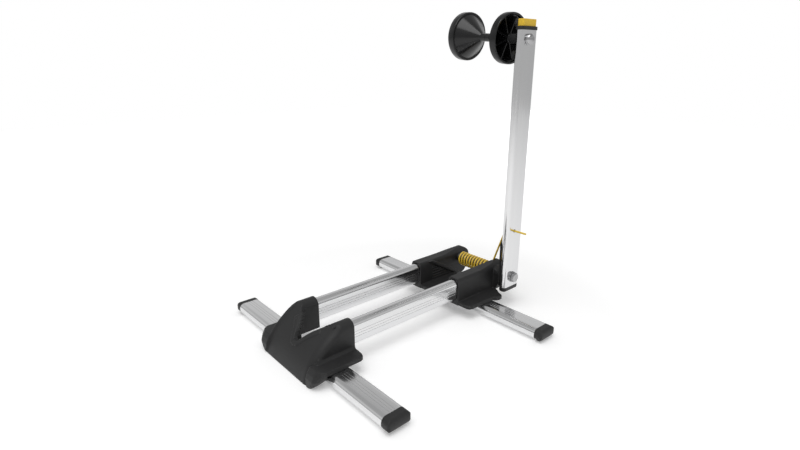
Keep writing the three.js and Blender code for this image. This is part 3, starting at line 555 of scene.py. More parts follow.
class Graph:
    """A node tree under construction.

    Args:
        owner: The material or world that the tree belongs to.
    """

    def __init__(self, owner: bpy.types.Material | bpy.types.World) -> None:
        """Turns the owner's nodes on.

        Args:
            owner: The material or world.
        """
        owner.use_nodes = True
        self.owner = owner
        self.tree = owner.node_tree

    def put(self, socket: bpy.types.NodeSocket, value: object) -> None:
        """Gives an input a value.

        Args:
            socket: The input.
            value: An output to link to it, a number, a vector or a colour.
        """
        if isinstance(value, bpy.types.NodeSocket):
            self.tree.links.new(value, socket)
        elif socket.type == "RGBA":
            socket.default_value = (*value, 1)
        else:
            socket.default_value = value

    def add(self, kind: str, *inputs: object, **settings: object) -> bpy.types.Node:
        """Adds a node.

        Args:
            kind: The node's type after the word ShaderNode.
            *inputs: What its first inputs get, in their order.
            **settings: Node properties, or inputs by name with _ for each space.

        Returns:
            The node.
        """
        node = self.tree.nodes.new("ShaderNode" + kind)
        for key, value in settings.items():
            if hasattr(node, key):
                setattr(node, key, value)
            else:
                self.put(node.inputs[key.replace("_", " ")], value)
        for socket, value in zip(node.inputs, inputs):
            self.put(socket, value)
        return node

    def math(self, operation: str, first: object, second: object) -> bpy.types.NodeSocket:
        """Joins two signals or numbers by the named operation."""
        return self.add("Math", first, second, operation=operation).outputs[0]

    def ramp(
        self, signal: bpy.types.NodeSocket, low: float, high: float, span: Pair = (0.3, 0.7)
    ) -> bpy.types.NodeSocket:
        """Maps a signal that runs over a span to the range from low to high."""
        ends = {"From_Min": span[0], "From_Max": span[1], "To_Min": low, "To_Max": high}
        return self.add("MapRange", signal, **ends).outputs["Result"]

    def noise(self, scale: Triple | float, detail: float) -> bpy.types.NodeSocket:
        """Noise over the object's own coordinates.

        Args:
            scale: Cells per metre, one number or one for each axis.
            detail: Octaves.

        Returns:
            The signal, mostly 0.3 to 0.7.
        """
        sizes = scale if isinstance(scale, tuple) else (scale, scale, scale)
        place = self.add("Mapping", self.add("TexCoord").outputs["Object"], Scale=sizes)
        cells = self.add("TexNoise", Vector=place.outputs["Vector"], Scale=1.0, Detail=detail)
        return cells.outputs["Fac"]

    def mix(self, factor: object, first: object, second: object) -> bpy.types.NodeSocket:
        """Mixes two colours.

        Args:
            factor: The second colour's share.
            first: A colour or a colour output.
            second: A colour or a colour output.

        Returns:
            The mixed colour's output.
        """
        node = self.add("Mix", factor, data_type="RGBA")
        colours = [socket for socket in node.inputs if socket.type == "RGBA"]
        self.put(colours[0], first)
        self.put(colours[1], second)
        return next(socket for socket in node.outputs if socket.type == "RGBA")

    def tint(self, signal: bpy.types.NodeSocket, low: Triple, high: Triple) -> bpy.types.NodeSocket:
        """Mixes two colours by a noise signal."""
        return self.mix(self.ramp(signal, 0, 1), low, high)

    def bump(self, signal: bpy.types.NodeSocket, depth: float) -> bpy.types.NodeSocket:
        """The normals of a relief whose depth is in millimetres."""
        return self.add("Bump", Distance=depth * MM, Height=signal, Strength=1.0).outputs["Normal"]

    def surface(self, **inputs: object) -> bpy.types.Material:
        """Sets the main shader's inputs, named with _ for each space, and gives the material.

        Returns:
            The material.
        """
        for name, value in inputs.items():
            self.put(self.tree.nodes["Principled BSDF"].inputs[name.replace("_", " ")], value)
        return self.owner


@dataclass(frozen=True)
class Extrusion:
    """Satin anodised aluminium with faint draw lines along the profile."""

    along: Axis
    colour: float = 0.76
    roughness: float = 0.14
    fine: Pair = (900.0, 3.0)
    broad: Pair = (90.0, 1.5)

    def drawn(self, graph: Graph, across: float, along: float) -> bpy.types.NodeSocket:
        """Noise stretched along the profile.

        Args:
            graph: The material under construction.
            across: Cells per metre across it.
            along: Cells per metre along it.

        Returns:
            The output.
        """
        sizes = [across, across, across]
        sizes[self.along.value] = along
        return graph.noise((sizes[0], sizes[1], sizes[2]), 2.0)

    def material(self) -> bpy.types.Material:
        """Builds the material.

        Returns:
            The material.
        """
        graph = Graph(bpy.data.materials.new("satin_aluminium_" + self.along.name.lower()))
        lines = self.drawn(graph, *self.fine)
        low = (self.colour * 0.95, self.colour * 0.955, self.colour * 0.965)
        high = (self.colour, self.colour, self.colour * 1.005)
        return graph.surface(
            Metallic=1.0,
            Base_Color=graph.tint(self.drawn(graph, *self.broad), low, high),
            Roughness=graph.ramp(lines, self.roughness - 0.02, self.roughness + 0.03),
            Normal=graph.bump(lines, 0.0015),
        )


@dataclass(frozen=True)
class Moulding:
    """Moulded plastic with a fine grain, with a painted highlight that makes it a little lighter along
    its edges.
    """

    slot: Slot
    colour: Triple
    roughness: float
    grain: float
    gloss: float
    # edge: colour gain of the painted highlight along the convex edges.
    edge: float = 1.5

    def material(self) -> bpy.types.Material:
        """Builds the material.

        Returns:
            The material.
        """
        graph = Graph(bpy.data.materials.new(self.slot.value))
        cloud = graph.noise(45.0, 3.0)
        body = graph.tint(cloud, scaled(self.colour, 0.92), scaled(self.colour, 1.08))
        # Painted highlight: convex edges, found by pointiness, are mixed towards a lighter colour.
        edge_highlight = graph.ramp(graph.add("NewGeometry").outputs["Pointiness"], 0.0, 1.0, (0.52, 0.62))
        return graph.surface(
            Base_Color=graph.mix(edge_highlight, body, scaled(self.colour, self.edge)),
            Roughness=graph.ramp(cloud, self.roughness - 0.04, self.roughness + 0.04),
            Specular_IOR_Level=self.gloss,
            Normal=graph.bump(graph.noise(1500.0, 2.0), self.grain),
        )


@dataclass(frozen=True)
class CoatedWire:
    """Yellow coated spring wire."""

    colour: Triple = (0.86, 0.6, 0.05)
    roughness: float = 0.28

    def material(self) -> bpy.types.Material:
        """Builds the material.

        Returns:
            The material.
        """
        graph = Graph(bpy.data.materials.new(Slot.WIRE.value))
        specks = graph.noise(900.0, 3.0)
        dark = (self.colour[0] * 0.8, self.colour[1] * 0.76, self.colour[2])
        return graph.surface(
            Base_Color=graph.tint(graph.noise(160.0, 3.0), dark, self.colour),
            Roughness=graph.ramp(specks, self.roughness - 0.06, self.roughness + 0.1),
            Specular_IOR_Level=0.5,
            Coat_Weight=0.3,
            Coat_Roughness=0.15,
            Normal=graph.bump(specks, 0.02),
        )


@dataclass(frozen=True)
class PlatedSteel:
    """Plated or blackened steel."""

    slot: Slot
    colour: float
    roughness: float

    def material(self) -> bpy.types.Material:
        """Builds the material.

        Returns:
            The material.
        """
        graph = Graph(bpy.data.materials.new(self.slot.value))
        cloud = graph.noise(220.0, 4.0)
        dark = (self.colour * 0.85,) * 3
        light = (self.colour, self.colour, self.colour * 1.02)
        return graph.surface(
            Base_Color=graph.tint(cloud, dark, light),
            Metallic=1.0,
            Roughness=graph.ramp(cloud, self.roughness - 0.05, self.roughness + 0.06),
            Normal=graph.bump(graph.noise(1300.0, 2.0), 0.008),
        )


@dataclass(frozen=True)
class Finish:
    """A material with the record's slot for it."""

    slot: Slot
    material: bpy.types.Material


class Finishes:
    """The finishes shared by the sub-assemblies."""

    def __init__(self) -> None:
        """Builds each material once."""
        self.foot = Finish(Slot.ALUMINIUM, Extrusion(Axis.X).material())
        self.rail = Finish(Slot.ALUMINIUM, Extrusion(Axis.Y).material())
        self.arm = Finish(Slot.ALUMINIUM, Extrusion(Axis.Z).material())
        self.wire = Finish(Slot.WIRE, CoatedWire().material())
        self.black, self.roller, self.yellow, self.zinc, self.black_steel = (
            Finish(kind.slot, kind.material())
            for kind in (
                # A moulding's sixth value, 1.5 where left out, is the colour gain of its painted edge
                # highlight.
                Moulding(Slot.BLACK, (0.021, 0.021, 0.0215), 0.5, 0.03, 0.32),
                Moulding(Slot.ROLLER, (0.006, 0.006, 0.0065), 0.19, 0.006, 0.42, 1.2),
                Moulding(Slot.YELLOW, (0.8, 0.52, 0.04), 0.32, 0.008, 0.4, 1.05),
                PlatedSteel(Slot.ZINC, 0.46, 0.17),
                PlatedSteel(Slot.BLACK_STEEL, 0.2, 0.35),
            )
        )


def dress(obj: bpy.types.Object, finish: Finish, body: str | None, *nodes: str) -> None:
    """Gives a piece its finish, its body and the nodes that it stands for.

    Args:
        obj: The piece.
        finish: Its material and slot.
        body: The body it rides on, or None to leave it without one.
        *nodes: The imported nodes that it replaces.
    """
    obj.data.materials.clear()
    obj.data.materials.append(finish.material)
    if body is not None:
        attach(obj, body)
    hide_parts(*nodes)
    LOG.info("%s: %d faces for %s", obj.name, len(obj.data.polygons), ", ".join(nodes))


# ---- Tubes ----
@dataclass(frozen=True)
class TubeProfile:
    """Section shared by the feet and the rails, with three fine grooves in each long face."""

    width: float = 33
    thickness: float = 16
    corner: float = 7
    wall: float = 1.8
    groove_pitch: float = 3.8
    groove_width: float = 1.1
    groove_depth: float = 0.5

    def marks(self, depth: float) -> list[Pair]:
        """The grooves' corners, from the + side to the - side, cut to a depth.

        Args:
            depth: How deep the grooves are cut.

        Returns:
            The points.
        """
        half = self.groove_width / 2
        marks: list[Pair] = []
        for at in (self.groove_pitch, 0.0, -self.groove_pitch):
            marks += [(at + half, 0.0), (at + half * 0.4, depth), (at - half * 0.4, depth)]
            marks.append((at - half, 0.0))
        return marks

    def outline(self, centre: Pair, inset: float = 0) -> Outline:
        """The lying section about its centre.

        Args:
            centre: Middle of the section.
            inset: How far inside the outer face it runs.

        Returns:
            The outline, with grooves only at the outer face.
        """
        return rounded_box(
            centre,
            self.width - 2 * inset,
            self.thickness - 2 * inset,
            self.corner - inset,
            steps=12,
            marks=self.marks(0.0 if inset else self.groove_depth),
        )

    def clear_outline(self, centre: Pair, clearance: float) -> Outline:
        """A plain outline a clearance outside the section.

        Args:
            centre: Middle of the section.
            clearance: Gap outside the section.

        Returns:
            The outline.
        """
        return rounded_box(
            centre,
            self.width + 2 * clearance,
            self.thickness + 2 * clearance,
            self.corner + clearance,
            steps=12,
        )


TUBE = TubeProfile()


@dataclass
class Feet:
    """The front and rear feet with their end caps."""

    bottom: float = 2.3
    end_x: float = 170
    stub_start_x: float = 52.3
    rear_y: float = 273
    cap_length: float = 12
    cap_nose: float = 4.5
    cap_corner: float = 3.5
    pad_end_x: float = 176
    pad_half_width: float = 10.5
    plug_length: float = 18
    plug_gap: float = 0.5
    voxel: float = 0.55

    @property
    def middle_z(self) -> float:
        """Height of the tubes' centre line."""
        return self.bottom + TUBE.thickness / 2

    def tube(self, name: str, y: float, start: float, end: float) -> bpy.types.Object:
        """One foot tube.

        Args:
            name: The piece's name.
            y: The foot's centre line.
            start: First end along X.
            end: Second end along X.

        Returns:
            The piece.
        """
        centre = (y, self.middle_z)
        shape = pipe(Axis.X, TUBE.outline(centre), TUBE.outline(centre, TUBE.wall), start, end)
        obj = make_object(name, [shape])
        shade_smooth(obj, 28)
        return obj

    def cap(self, name: str, side: Side, y: float) -> bpy.types.Object:
        """One end cap: rounded nose, floor pad and the plug inside the tube.

        Args:
            name: The piece's name.
            side: Which end of the foot.
            y: The foot's centre line.

        Returns:
            The piece.
        """
        nose = self.end_x + self.cap_length
        bend = nose - self.cap_nose
        half = TUBE.thickness / 2
        reach = TUBE.width / 2
        ellipse = arc((0, 0), 1, -QUARTER, QUARTER, 20)
        side_view = [(self.end_x + 0.3, self.bottom)]
        side_view += [(bend + u * self.cap_nose, self.middle_z + v * half) for u, v in ellipse]
        side_view.append((self.end_x + 0.3, self.bottom + TUBE.thickness))
        plan = [(self.end_x - 1, y - reach), (nose - self.cap_corner - 0.1, y - reach)]
        turn = nose - self.cap_corner
        plan += arc((turn, y - reach + self.cap_corner), self.cap_corner, -QUARTER, 0, 10)
        plan += arc((turn, y + reach - self.cap_corner), self.cap_corner, 0, QUARTER, 10)
        plan += [(turn - 0.1, y + reach), (self.end_x - 1, y + reach)]
        sign = side.value
        section = TUBE.clear_outline((y, self.middle_z), 0.0)
        head = make_object(name, [prism(Axis.X, section, sign * self.end_x, sign * (nose + 1))])
        profile = sided(side_view, side)
        carve(head, [prism(Axis.Y, profile, y - 30, y + 30)], "INTERSECT")
        carve(head, [prism(Axis.Z, sided(plan, side), -1, 30)], "INTERSECT")
        ends = sorted((sign * (self.end_x + 0.6), sign * self.pad_end_x))
        pad = block(
            (ends[0], ends[1]), (y - self.pad_half_width, y + self.pad_half_width),
            (0, self.bottom + 1.8),
        )
        inner = TUBE.clear_outline((y, self.middle_z), -TUBE.wall - self.plug_gap)
        start = self.end_x - self.plug_length
        plug = prism(Axis.X, inner, sign * start, sign * (self.end_x + 1))
        carve(head, [pad, plug], "UNION")
        mould(head, self.voxel, 5)
        return head

    def build(self, finishes: Finishes) -> None:
        """Builds and dresses the feet.

        Args:
            finishes: The shared finishes.
        """
        spans = {
            "foot_tube_front_left": (0.0, -self.end_x, -self.stub_start_x),
            "foot_tube_front_right": (0.0, self.stub_start_x, self.end_x),
            "foot_tube_rear": (self.rear_y, -self.end_x, self.end_x),
        }
        for node, (y, start, end) in spans.items():
            piece = self.tube(node + "_fine", y, start, end)
            dress(piece, finishes.foot, "base", node)
        for side in Side:
            for place, y in (("front", 0.0), ("rear", self.rear_y)):
                node = "foot_cap_" + place + "_" + side.name.lower()
                piece = self.cap(node + "_fine", side, y)
                dress(piece, finishes.black, "base", node)


@dataclass
class Rails:
    """The two upright rails."""

    centre_x: float = 41.3
    bottom: float = 25.3
    start_y: float = 20
    end_y: float = 296

    def outline(self, side: Side, inset: float) -> Outline:
        """The standing section in (x, z)."""
        centre = (self.bottom + TUBE.width / 2, side.value * self.centre_x)
        return swapped(TUBE.outline(centre, inset))

    def socket(self, side: Side, start: float, end: float) -> Shape:
        """The space that a rail takes in a bracket, with its clearance."""
        centre = (self.bottom + TUBE.width / 2, side.value * self.centre_x)
        return prism(Axis.Y, swapped(TUBE.clear_outline(centre, 0.3)), start, end)

    def build(self, finishes: Finishes) -> None:
        """Builds and dresses the rails.

        Args:
            finishes: The shared finishes.
        """
        for side in Side:
            node = "rail_" + side.name.lower()
            shape = pipe(
                Axis.Y,
                self.outline(side, 0),
                self.outline(side, TUBE.wall),
                self.start_y,
                self.end_y,
            )
            piece = make_object(node + "_fine", [shape])
            shade_smooth(piece, 28)
            dress(piece, finishes.rail, "base", node)


# ---- Brackets ----
@dataclass
class Towers:
    """The round-topped sleeves that hold the rails on both brackets."""

    inner_x: float = 30.6
    outer_x: float = 52
    floor: float = 18.3
    wall: float = 2.4

    @property
    def seam_x(self) -> float:
        """Inside of a tower's outer wall, where what stands outside it starts."""
        return self.outer_x - self.wall

    @property
    def radius(self) -> float:
        """Radius of a tower's round top."""
        return (self.outer_x - self.inner_x) / 2

    @property
    def middle_x(self) -> float:
        """Centre line of the right-hand tower."""
        return (self.outer_x + self.inner_x) / 2


TOWERS = Towers()
FOOT_TOP = 18.3
FLANGE_TOP = 24.3
HINGE_Y = 322
HINGE_Z = 49.5
SHAFT_BORE = 4.3


@dataclass
class FrontBracket:
    """The notched front moulding: leaning face, V notch, two towers, shoulders and spigots."""

    top: float = 62.3
    mouth_y: float = 38
    panel: float = 3.4
    rim_proud: float = 1.5
    rim_root: float = 2
    left_corner: float = 2.5
    right_corner: float = 9
    right_corner_gain: float = 6
    slant: float = 1.35
    web_end_y: float = 19
    spigot_gap: float = 0.4
    spigot_end_x: float = 84
    tooth: float = 1.3
    tooth_pitch: float = 2.3
    first_tooth: float = 3
    tooth_set_back: float = 1.2
    tooth_length: float = 7
    last_tooth: Pair = (28.3, 55.4)
    pip_lean: float = 1.15
    pip_profile: tuple[Pair, ...] = (
        (0.02, 0.0), (1.9, 0.0), (1.9, 0.9), (1.6, 1.5), (1.0, 1.9), (0.02, 2.0),
    )
    face: tuple[Pair, ...] = (
        (0, FRONT_LIP_Y), (4, -34.2), (10, -32.2), (16, -29.6), (22, -26.3), (28, -22.1), (34, -17.0),
        (40, -10.8), (45, -4.9), (50, 1.6), (54, 7.2), (57.5, 11.2), (60, 14), (61.6, 16.5),
        (62.3, 20),
    )
    notch: tuple[Pair, ...] = (
        (0, 33.8), (3.2, 34.4), (5, 35.6), (7, 37.8), (10.5, 42), (15, 46), (21, 50), (25.5, 53),
    )
    lip: tuple[Pair, ...] = (
        (0, 29.3), (6, 30.3), (10, 33.6), (14, 38), (18.5, 42.2), (24.5, 46.4), (29.5, 49.8),
    )
    edge_rim: tuple[Pair, ...] = (
        (52, 3), (52, 50), (51, 55), (48.5, 58.5), (46.5, 56.5), (48, 50), (48.8, 40), (49, 3),
    )
    pips: tuple[Pair, ...] = ((-24.3, 48.1), (-4.7, 34.1), (42.8, 59.2))
    voxel: float = 0.62

    def face_y(self, z: float) -> float:
        """How far back the front face is at a height.

        Args:
            z: The height.

        Returns:
            How far back it is, in millimetres.
        """
        for (z0, y0), (z1, y1) in zip(self.face, self.face[1:]):
            if z <= z1:
                return y0 + (y1 - y0) * (z - z0) / (z1 - z0)
        return self.face[-1][1]

    def envelope(self) -> Shape:
        """The outer form before the notch is cut.

        Returns:
            The closed shape.
        """
        levels = []
        for z, y in smoothed(self.face, 3):
            corner = self.right_corner + self.right_corner_gain * z / self.top
            reach = TOWERS.outer_x - corner
            sharp = self.left_corner
            far = sharp - TOWERS.outer_x
            outline = arc((far, y + sharp), sharp, 2 * QUARTER, 3 * QUARTER, 10)
            outline += arc((reach, y + corner), corner, 3 * QUARTER, 4 * QUARTER, 10)
            outline += [(TOWERS.outer_x, self.mouth_y), (-TOWERS.outer_x, self.mouth_y)]
            levels.append((z, outline))
        return lofted(levels)

    def silhouette(self) -> Outline:
        """Front view of the towers and the notch.

        Returns:
            The outline.
        """
        centre = (TOWERS.middle_x, self.top - TOWERS.radius)
        round_top = arc(centre, TOWERS.radius, 0, math.pi - math.asin(0.4), 30)
        right = round_top + list(reversed(smoothed(self.notch[1:], 3)))
        low = [(-TOWERS.outer_x, -1.0), (TOWERS.outer_x, -1.0)]
        return low + right + [self.notch[0]] + mirrored(right)

    def behind(self, depth: float, half_width: float, low: float, high: float) -> Shape:
        """The space behind the front face.

        Args:
            depth: How far inside the face it starts.
            half_width: Its reach to each side.
            low: Its lowest height.
            high: Its highest height.

        Returns:
            The closed shape.
        """
        rows = [(z, y) for z, y in smoothed(self.face, 3) if low < z < min(high, self.top - depth)]
        gap = depth * self.slant
        wall = [(self.face_y(low) + gap, low)] + [(y + gap, z) for z, y in rows]
        last = wall[-1]
        outline = [(200.0, low), (200.0, high)]
        if high > self.top - depth:
            outline.append((last[0] + depth, high))
        else:
            wall.append((self.face_y(high) + gap, high))
        return prism(Axis.X, outline + list(reversed(wall)), -half_width, half_width)

    def raised(self, outline: Outline) -> Shape:
        """A rim that stands proud of the leaning face.

        Args:
            outline: Its front view in (x, z).

        Returns:
            The closed shape.
        """
        tool = make_object("rim", [prism(Axis.Y, outline, -80, self.web_end_y - 3)])
        carve(tool, [self.behind(-self.rim_proud, 60, -1, 80)], "INTERSECT")
        carve(tool, [self.behind(self.rim_root, 61, -2, 81)], "DIFFERENCE")
        places = [(v.co.x / MM, v.co.y / MM + CENTRE_Y, v.co.z / MM) for v in tool.data.vertices]
        shape = Shape(places, [tuple(face.vertices) for face in tool.data.polygons])
        bpy.data.objects.remove(tool)
        return shape

    def rims(self) -> list[Shape]:
        """The lip round the notch and the rim along the left-hand edge.

        Returns:
            The closed shapes.
        """
        inner = smoothed(self.notch[1:], 3)
        outer = smoothed(self.lip[1:], 3)
        low = [self.lip[0], *outer]
        high = [self.notch[0], *inner]
        lip = mirrored([*low, *reversed(high)])
        right = [*low, *reversed(high)]
        return [self.raised(o) for o in (lip, right, mirrored(list(self.edge_rim)))]

    def shoulder(self, side: Side) -> Shape:
        """The shoulder in front of the foot.

        Args:
            side: Left or right half.

        Returns:
            The closed shape.
        """
        inner = TOWERS.seam_x
        back = -TUBE.width / 2 - 0.3
        rows: tuple[tuple[float, list[Pair]], ...] = (
            (0, [(inner, FRONT_LIP_Y), (54, FRONT_LIP_Y), (57.5, -33.5), (58.5, -29), (56, back)]),
            (2, [(inner, FRONT_LIP_Y), (56, FRONT_LIP_Y), (59.5, -33.5), (60.5, -29), (58, back)]),
            (5, [(inner, FRONT_LIP_Y), (59.5, FRONT_LIP_Y), (63, -33.5), (64.5, -29), (62.5, back)]),
            (12, [(inner, -34.7), (63.5, -34.7), (67.5, -32.5), (69.5, -28), (69.5, back)]),
            (FOOT_TOP, [(inner, -32.2), (64, -32.2), (70, -29), (72.5, -23), (72.5, back)]),
            (FLANGE_TOP, [(inner, -28), (64, -28), (71, -25), (74, -20), (74, back)]),
        )
        return lofted([(z, sided([(inner, back)] + row, side)) for z, row in rows])

    def flange(self, side: Side) -> Shape:
        """The plate over the foot.

        Args:
            side: Left or right half.

        Returns:
            The closed shape.
        """
        inner = TOWERS.seam_x
        outline = [(inner, -17.5), (74, -20), (74, 31), (72.3, 34.7), (67.9, 36.5), (58.6, 37.6)]
        outline.append((inner, self.mouth_y))
        return prism(Axis.Z, sided(outline, side), FOOT_TOP, FLANGE_TOP)

    def spigot(self, side: Side) -> Shape:
        """The plug inside the foot's tube.

        Args:
            side: Left or right half.

        Returns:
            The closed shape.
        """
        middle = (0, FOOT_TOP - TUBE.thickness / 2)
        section = TUBE.clear_outline(middle, -TUBE.wall - self.spigot_gap)
        start = side.value * TOWERS.seam_x
        return prism(Axis.X, section, start, side.value * self.spigot_end_x)

    def fillet(self, side: Side) -> Shape:
        """The soft corner between a tower's wall and the plate.

        Args:
            side: Left or right half.

        Returns:
            The closed shape.
        """
        outline = [
            (TOWERS.outer_x - 1, FLANGE_TOP - 1), (TOWERS.outer_x + 3.5, FLANGE_TOP - 1),
            (TOWERS.outer_x + 2, FLANGE_TOP + 0.5), (TOWERS.outer_x + 0.6, FLANGE_TOP + 2.4),
            (TOWERS.outer_x - 1, FLANGE_TOP + 5),
        ]
        return prism(Axis.Y, sided(outline, side), -20, self.mouth_y - 0.5)

    def grips(self, side: Side) -> list[Shape]:
        """The row of teeth along one flank of the notch.

        Args:
            side: Left or right half.

        Returns:
            The closed shapes.
        """
        flank = smoothed(self.notch[3:], 8) + [self.last_tooth]
        shapes = []
        travelled = 0.0
        next_tooth = self.first_tooth
        for (x0, z0), (x1, z1) in zip(flank, flank[1:]):
            travelled += math.hypot(x1 - x0, z1 - z0)
            if travelled < next_tooth:
                continue
            next_tooth += self.tooth_pitch
            start = self.face_y(z1) + self.tooth_set_back
            tooth = rounded_box((x1, z1), self.tooth, self.tooth, 0.6, 4)
            end = start + self.tooth_length
            shapes.append(prism(Axis.Y, sided(tooth, side), start, end))
        return shapes

    def pip(self, x: float, z: float) -> Shape:
        """A small dome standing on the front face.

        Args:
            x: Its place along X.
            z: Its height.

        Returns:
            The closed shape.
        """
        slope = Vector((0, -1, self.pip_lean)).normalized()
        across = Vector((1, 0, 0))
        up = slope.cross(across)
        base = Vector((x, self.face_y(z), z)) - slope * 0.6

        def placed(radius: float, along: float, angle: float) -> Triple:
            """A point about the dome's own line.

            Args:
                radius: Distance from the line.
                along: Distance along the line.
                angle: Angle round the line in radians.

            Returns:
                The place.
            """
            spot = base + slope * along
            spot += (across * math.cos(angle) + up * math.sin(angle)) * radius
            return (spot.x, spot.y, spot.z)

        return turned(list(self.pip_profile), 16, placed)

    def build(self, rails: Rails, finishes: Finishes) -> None:
        """Builds and dresses the moulding.

        Args:
            rails: The rails.
            finishes: The shared finishes.
        """
        inner = TOWERS.seam_x
        body = make_object("front_bracket_moulding", [self.envelope()])
        carve(body, [prism(Axis.Y, self.silhouette(), -80, 80)], "INTERSECT")
        carve(
            body,
            [
                self.behind(self.panel, TOWERS.inner_x, -1, 80),
                self.behind(self.panel, inner, -1, TOWERS.floor),
                block((-60, 60), (self.web_end_y, 60), (-1, TOWERS.floor)),
            ],
            "DIFFERENCE",
        )
        added = self.rims()
        for side in Side:
            added += [part(side) for part in (self.shoulder, self.flange, self.spigot, self.fillet)]
        carve(body, added, "UNION")
        carve(body, [rails.socket(side, rails.start_y - 0.3, 80) for side in Side], "DIFFERENCE")
        teeth = [tooth for side in Side for tooth in self.grips(side)]
        join_mesh(body, make_object("teeth", teeth))
        mould(body, self.voxel, 4)
        pips = make_object("pips", [self.pip(x, z) for x, z in self.pips])
        shade_smooth(pips)
        join_mesh(body, pips)
        dress(body, finishes.black, "base", "front_bracket")


@dataclass
class RearBracket:
    """The rear moulding: two towers with ears for the hinge on one plate over the rear foot."""

    mouth_y: float = 230
    top: float = 61
    foot_y: float = 273
    strap_proud: float = 1.6
    pocket_depth: float = 1.3
    boss_radius: float = 10.5
    boss_end_x: float = 64.2
    gusset_y: float = 317
    bore: float = SHAFT_BORE
    anchor_bore: float = 2.3
    nut_pocket: float = 13.8
    nut_pocket_depth: float = 7
    ear: tuple[Pair, ...] = (
        (327, 18.3), (335, 21), (340.5, 27), (344, 35), (346, 43), (346.5, 50), (345, 56),
        (341.5, 60.8), (336, 63.6), (329, 64.5), (318, 63.8),
    )
    ear_top: float = 64.5
    rise_start_y: float = 285
    strap: tuple[Pair, ...] = ((248, 60.4), (257, 60.4), (322, 24.3), (310, 24.3))
    pocket: tuple[Pair, ...] = ((258, 29), (303, 29), (262, 51), (258, 51))
    pocket_rib_count: int = 4
    first_rib_z: float = 31.5
    rib_pitch: float = 4.6
    pocket_rib: float = 1.7
    gusset: float = 5
    plate_right: tuple[Pair, ...] = (
        (16, -41.5), (20.5, -39), (22.5, -33), (23, 11), (27, 15), (29.5, 20), (29.3, 25.5),
        (26, 29), (20, 31), (14, 35), (10, 38), (0, 41),
    )
    plate_left: tuple[Pair, ...] = (
        (16, -41.5), (20.5, -39), (22, -33), (22, 19), (19, 29), (12, 37), (0, 41),
    )
    voxel: float = 0.68

    def plate(self) -> Shape:
        """The plate across the rear foot.

        Returns:
            The closed shape.
        """
        right = [(TOWERS.outer_x + out, self.foot_y + back) for out, back in self.plate_right]
        left = [(-TOWERS.outer_x - out, self.foot_y + back) for out, back in self.plate_left]
        return prism(Axis.Z, right + list(reversed(left)), FOOT_TOP, FLANGE_TOP)

    def tower(self, side: Side) -> Shape:
        """A tower's section pulled back past its ear.

        Args:
            side: Left or right half.

        Returns:
            The closed shape.
        """
        centre = (TOWERS.middle_x, self.ear_top - TOWERS.radius)
        outline = [(TOWERS.inner_x, 0.0), (TOWERS.outer_x, 0.0)]
        outline += arc(centre, TOWERS.radius, 0, math.pi, 32)
        return prism(Axis.Y, sided(outline, side), self.mouth_y, 360)

    def side_view(self) -> Outline:
        """The towers and ears seen from the side.

        Returns:
            The outline.
        """
        start = [(self.mouth_y - 1, TOWERS.floor), (318.0, TOWERS.floor)]
        end = [(self.rise_start_y, self.top), (self.mouth_y - 1, self.top)]
        return start + smoothed(self.ear, 4) + end

    def pocket_ribs(self, side: Side) -> list[Shape]:
        """Level ribs across the pocket in a tower's inner face.

        Args:
            side: Left or right half.

        Returns:
            The closed shapes.
        """
        (near, floor), (far, _), (far_top, roof), _ = self.pocket
        ribs = []
        for i in range(self.pocket_rib_count):
            low = self.first_rib_z + self.rib_pitch * i
            end = far - (low + 2 - floor) * (far - far_top) / (roof - floor) - 1
            x = sorted((side.value * (TOWERS.inner_x - 0.1), side.value * (TOWERS.inner_x + 3)))
            ribs.append(block((x[0], x[1]), (near, end), (low, low + self.pocket_rib)))
        return ribs

    def build(self, rails: Rails, spring: "Spring", finishes: Finishes) -> None:
        """Builds and dresses the moulding.

        Args:
            rails: The rails in its sockets.
            spring: The spring anchored in its left ear.
            finishes: The shared finishes.
        """
        body = make_object("rear_bracket_moulding", [self.tower(Side.LEFT), self.tower(Side.RIGHT)])
        carve(body, [prism(Axis.X, self.side_view(), -60, 60)], "INTERSECT")
        pockets = []
        for side in Side:
            edge = side.value * (TOWERS.inner_x + self.pocket_depth)
            pockets.append(prism(Axis.X, list(self.pocket), side.value * 20, edge))
        carve(body, pockets, "DIFFERENCE")
        added = [self.plate()]
        for side in Side:
            near = side.value * (TOWERS.inner_x - self.strap_proud)
            far = side.value * (TOWERS.inner_x + 2.4)
            added.append(prism(Axis.X, list(self.strap), near, far))
            added += self.pocket_ribs(side)
        hinge = about(Axis.X, HINGE_Y, HINGE_Z)
        root = TOWERS.outer_x - 4
        added.append(rod(self.boss_radius, root, self.boss_end_x, 48, hinge))
        rib = [(51, 23.3), (58, 23.3), (self.boss_end_x, 40), (self.boss_end_x, HINGE_Z)]
        rib.append((51, 58.5))
        added.append(prism(Axis.Y, rib, self.gusset_y - self.gusset, self.gusset_y))
        carve(body, added, "UNION")
        nut = regular((HINGE_Y, HINGE_Z), self.nut_pocket, 6)
        anchor = spring.on_coil(spring.start_angle)
        cuts = [rails.socket(side, self.mouth_y - 2, rails.end_y + 0.3) for side in Side]
        cuts.append(rod(self.bore, -100, 100, 32, hinge))
        cuts.append(prism(Axis.X, nut, -100, -TOWERS.outer_x + self.nut_pocket_depth))
        cuts.append(rod(self.anchor_bore, -44, 0, 24, about(Axis.X, *anchor)))
        cuts.append(rod(spring.room_radius, 10, spring.room_end_x, 48, hinge))
        cuts.append(block((30, 41), (326.6, 335), (HINGE_Z, 70)))
        carve(body, cuts, "DIFFERENCE")
        mould(body, self.voxel, 4)
        dress(body, finishes.black, "base", "rear_bracket")


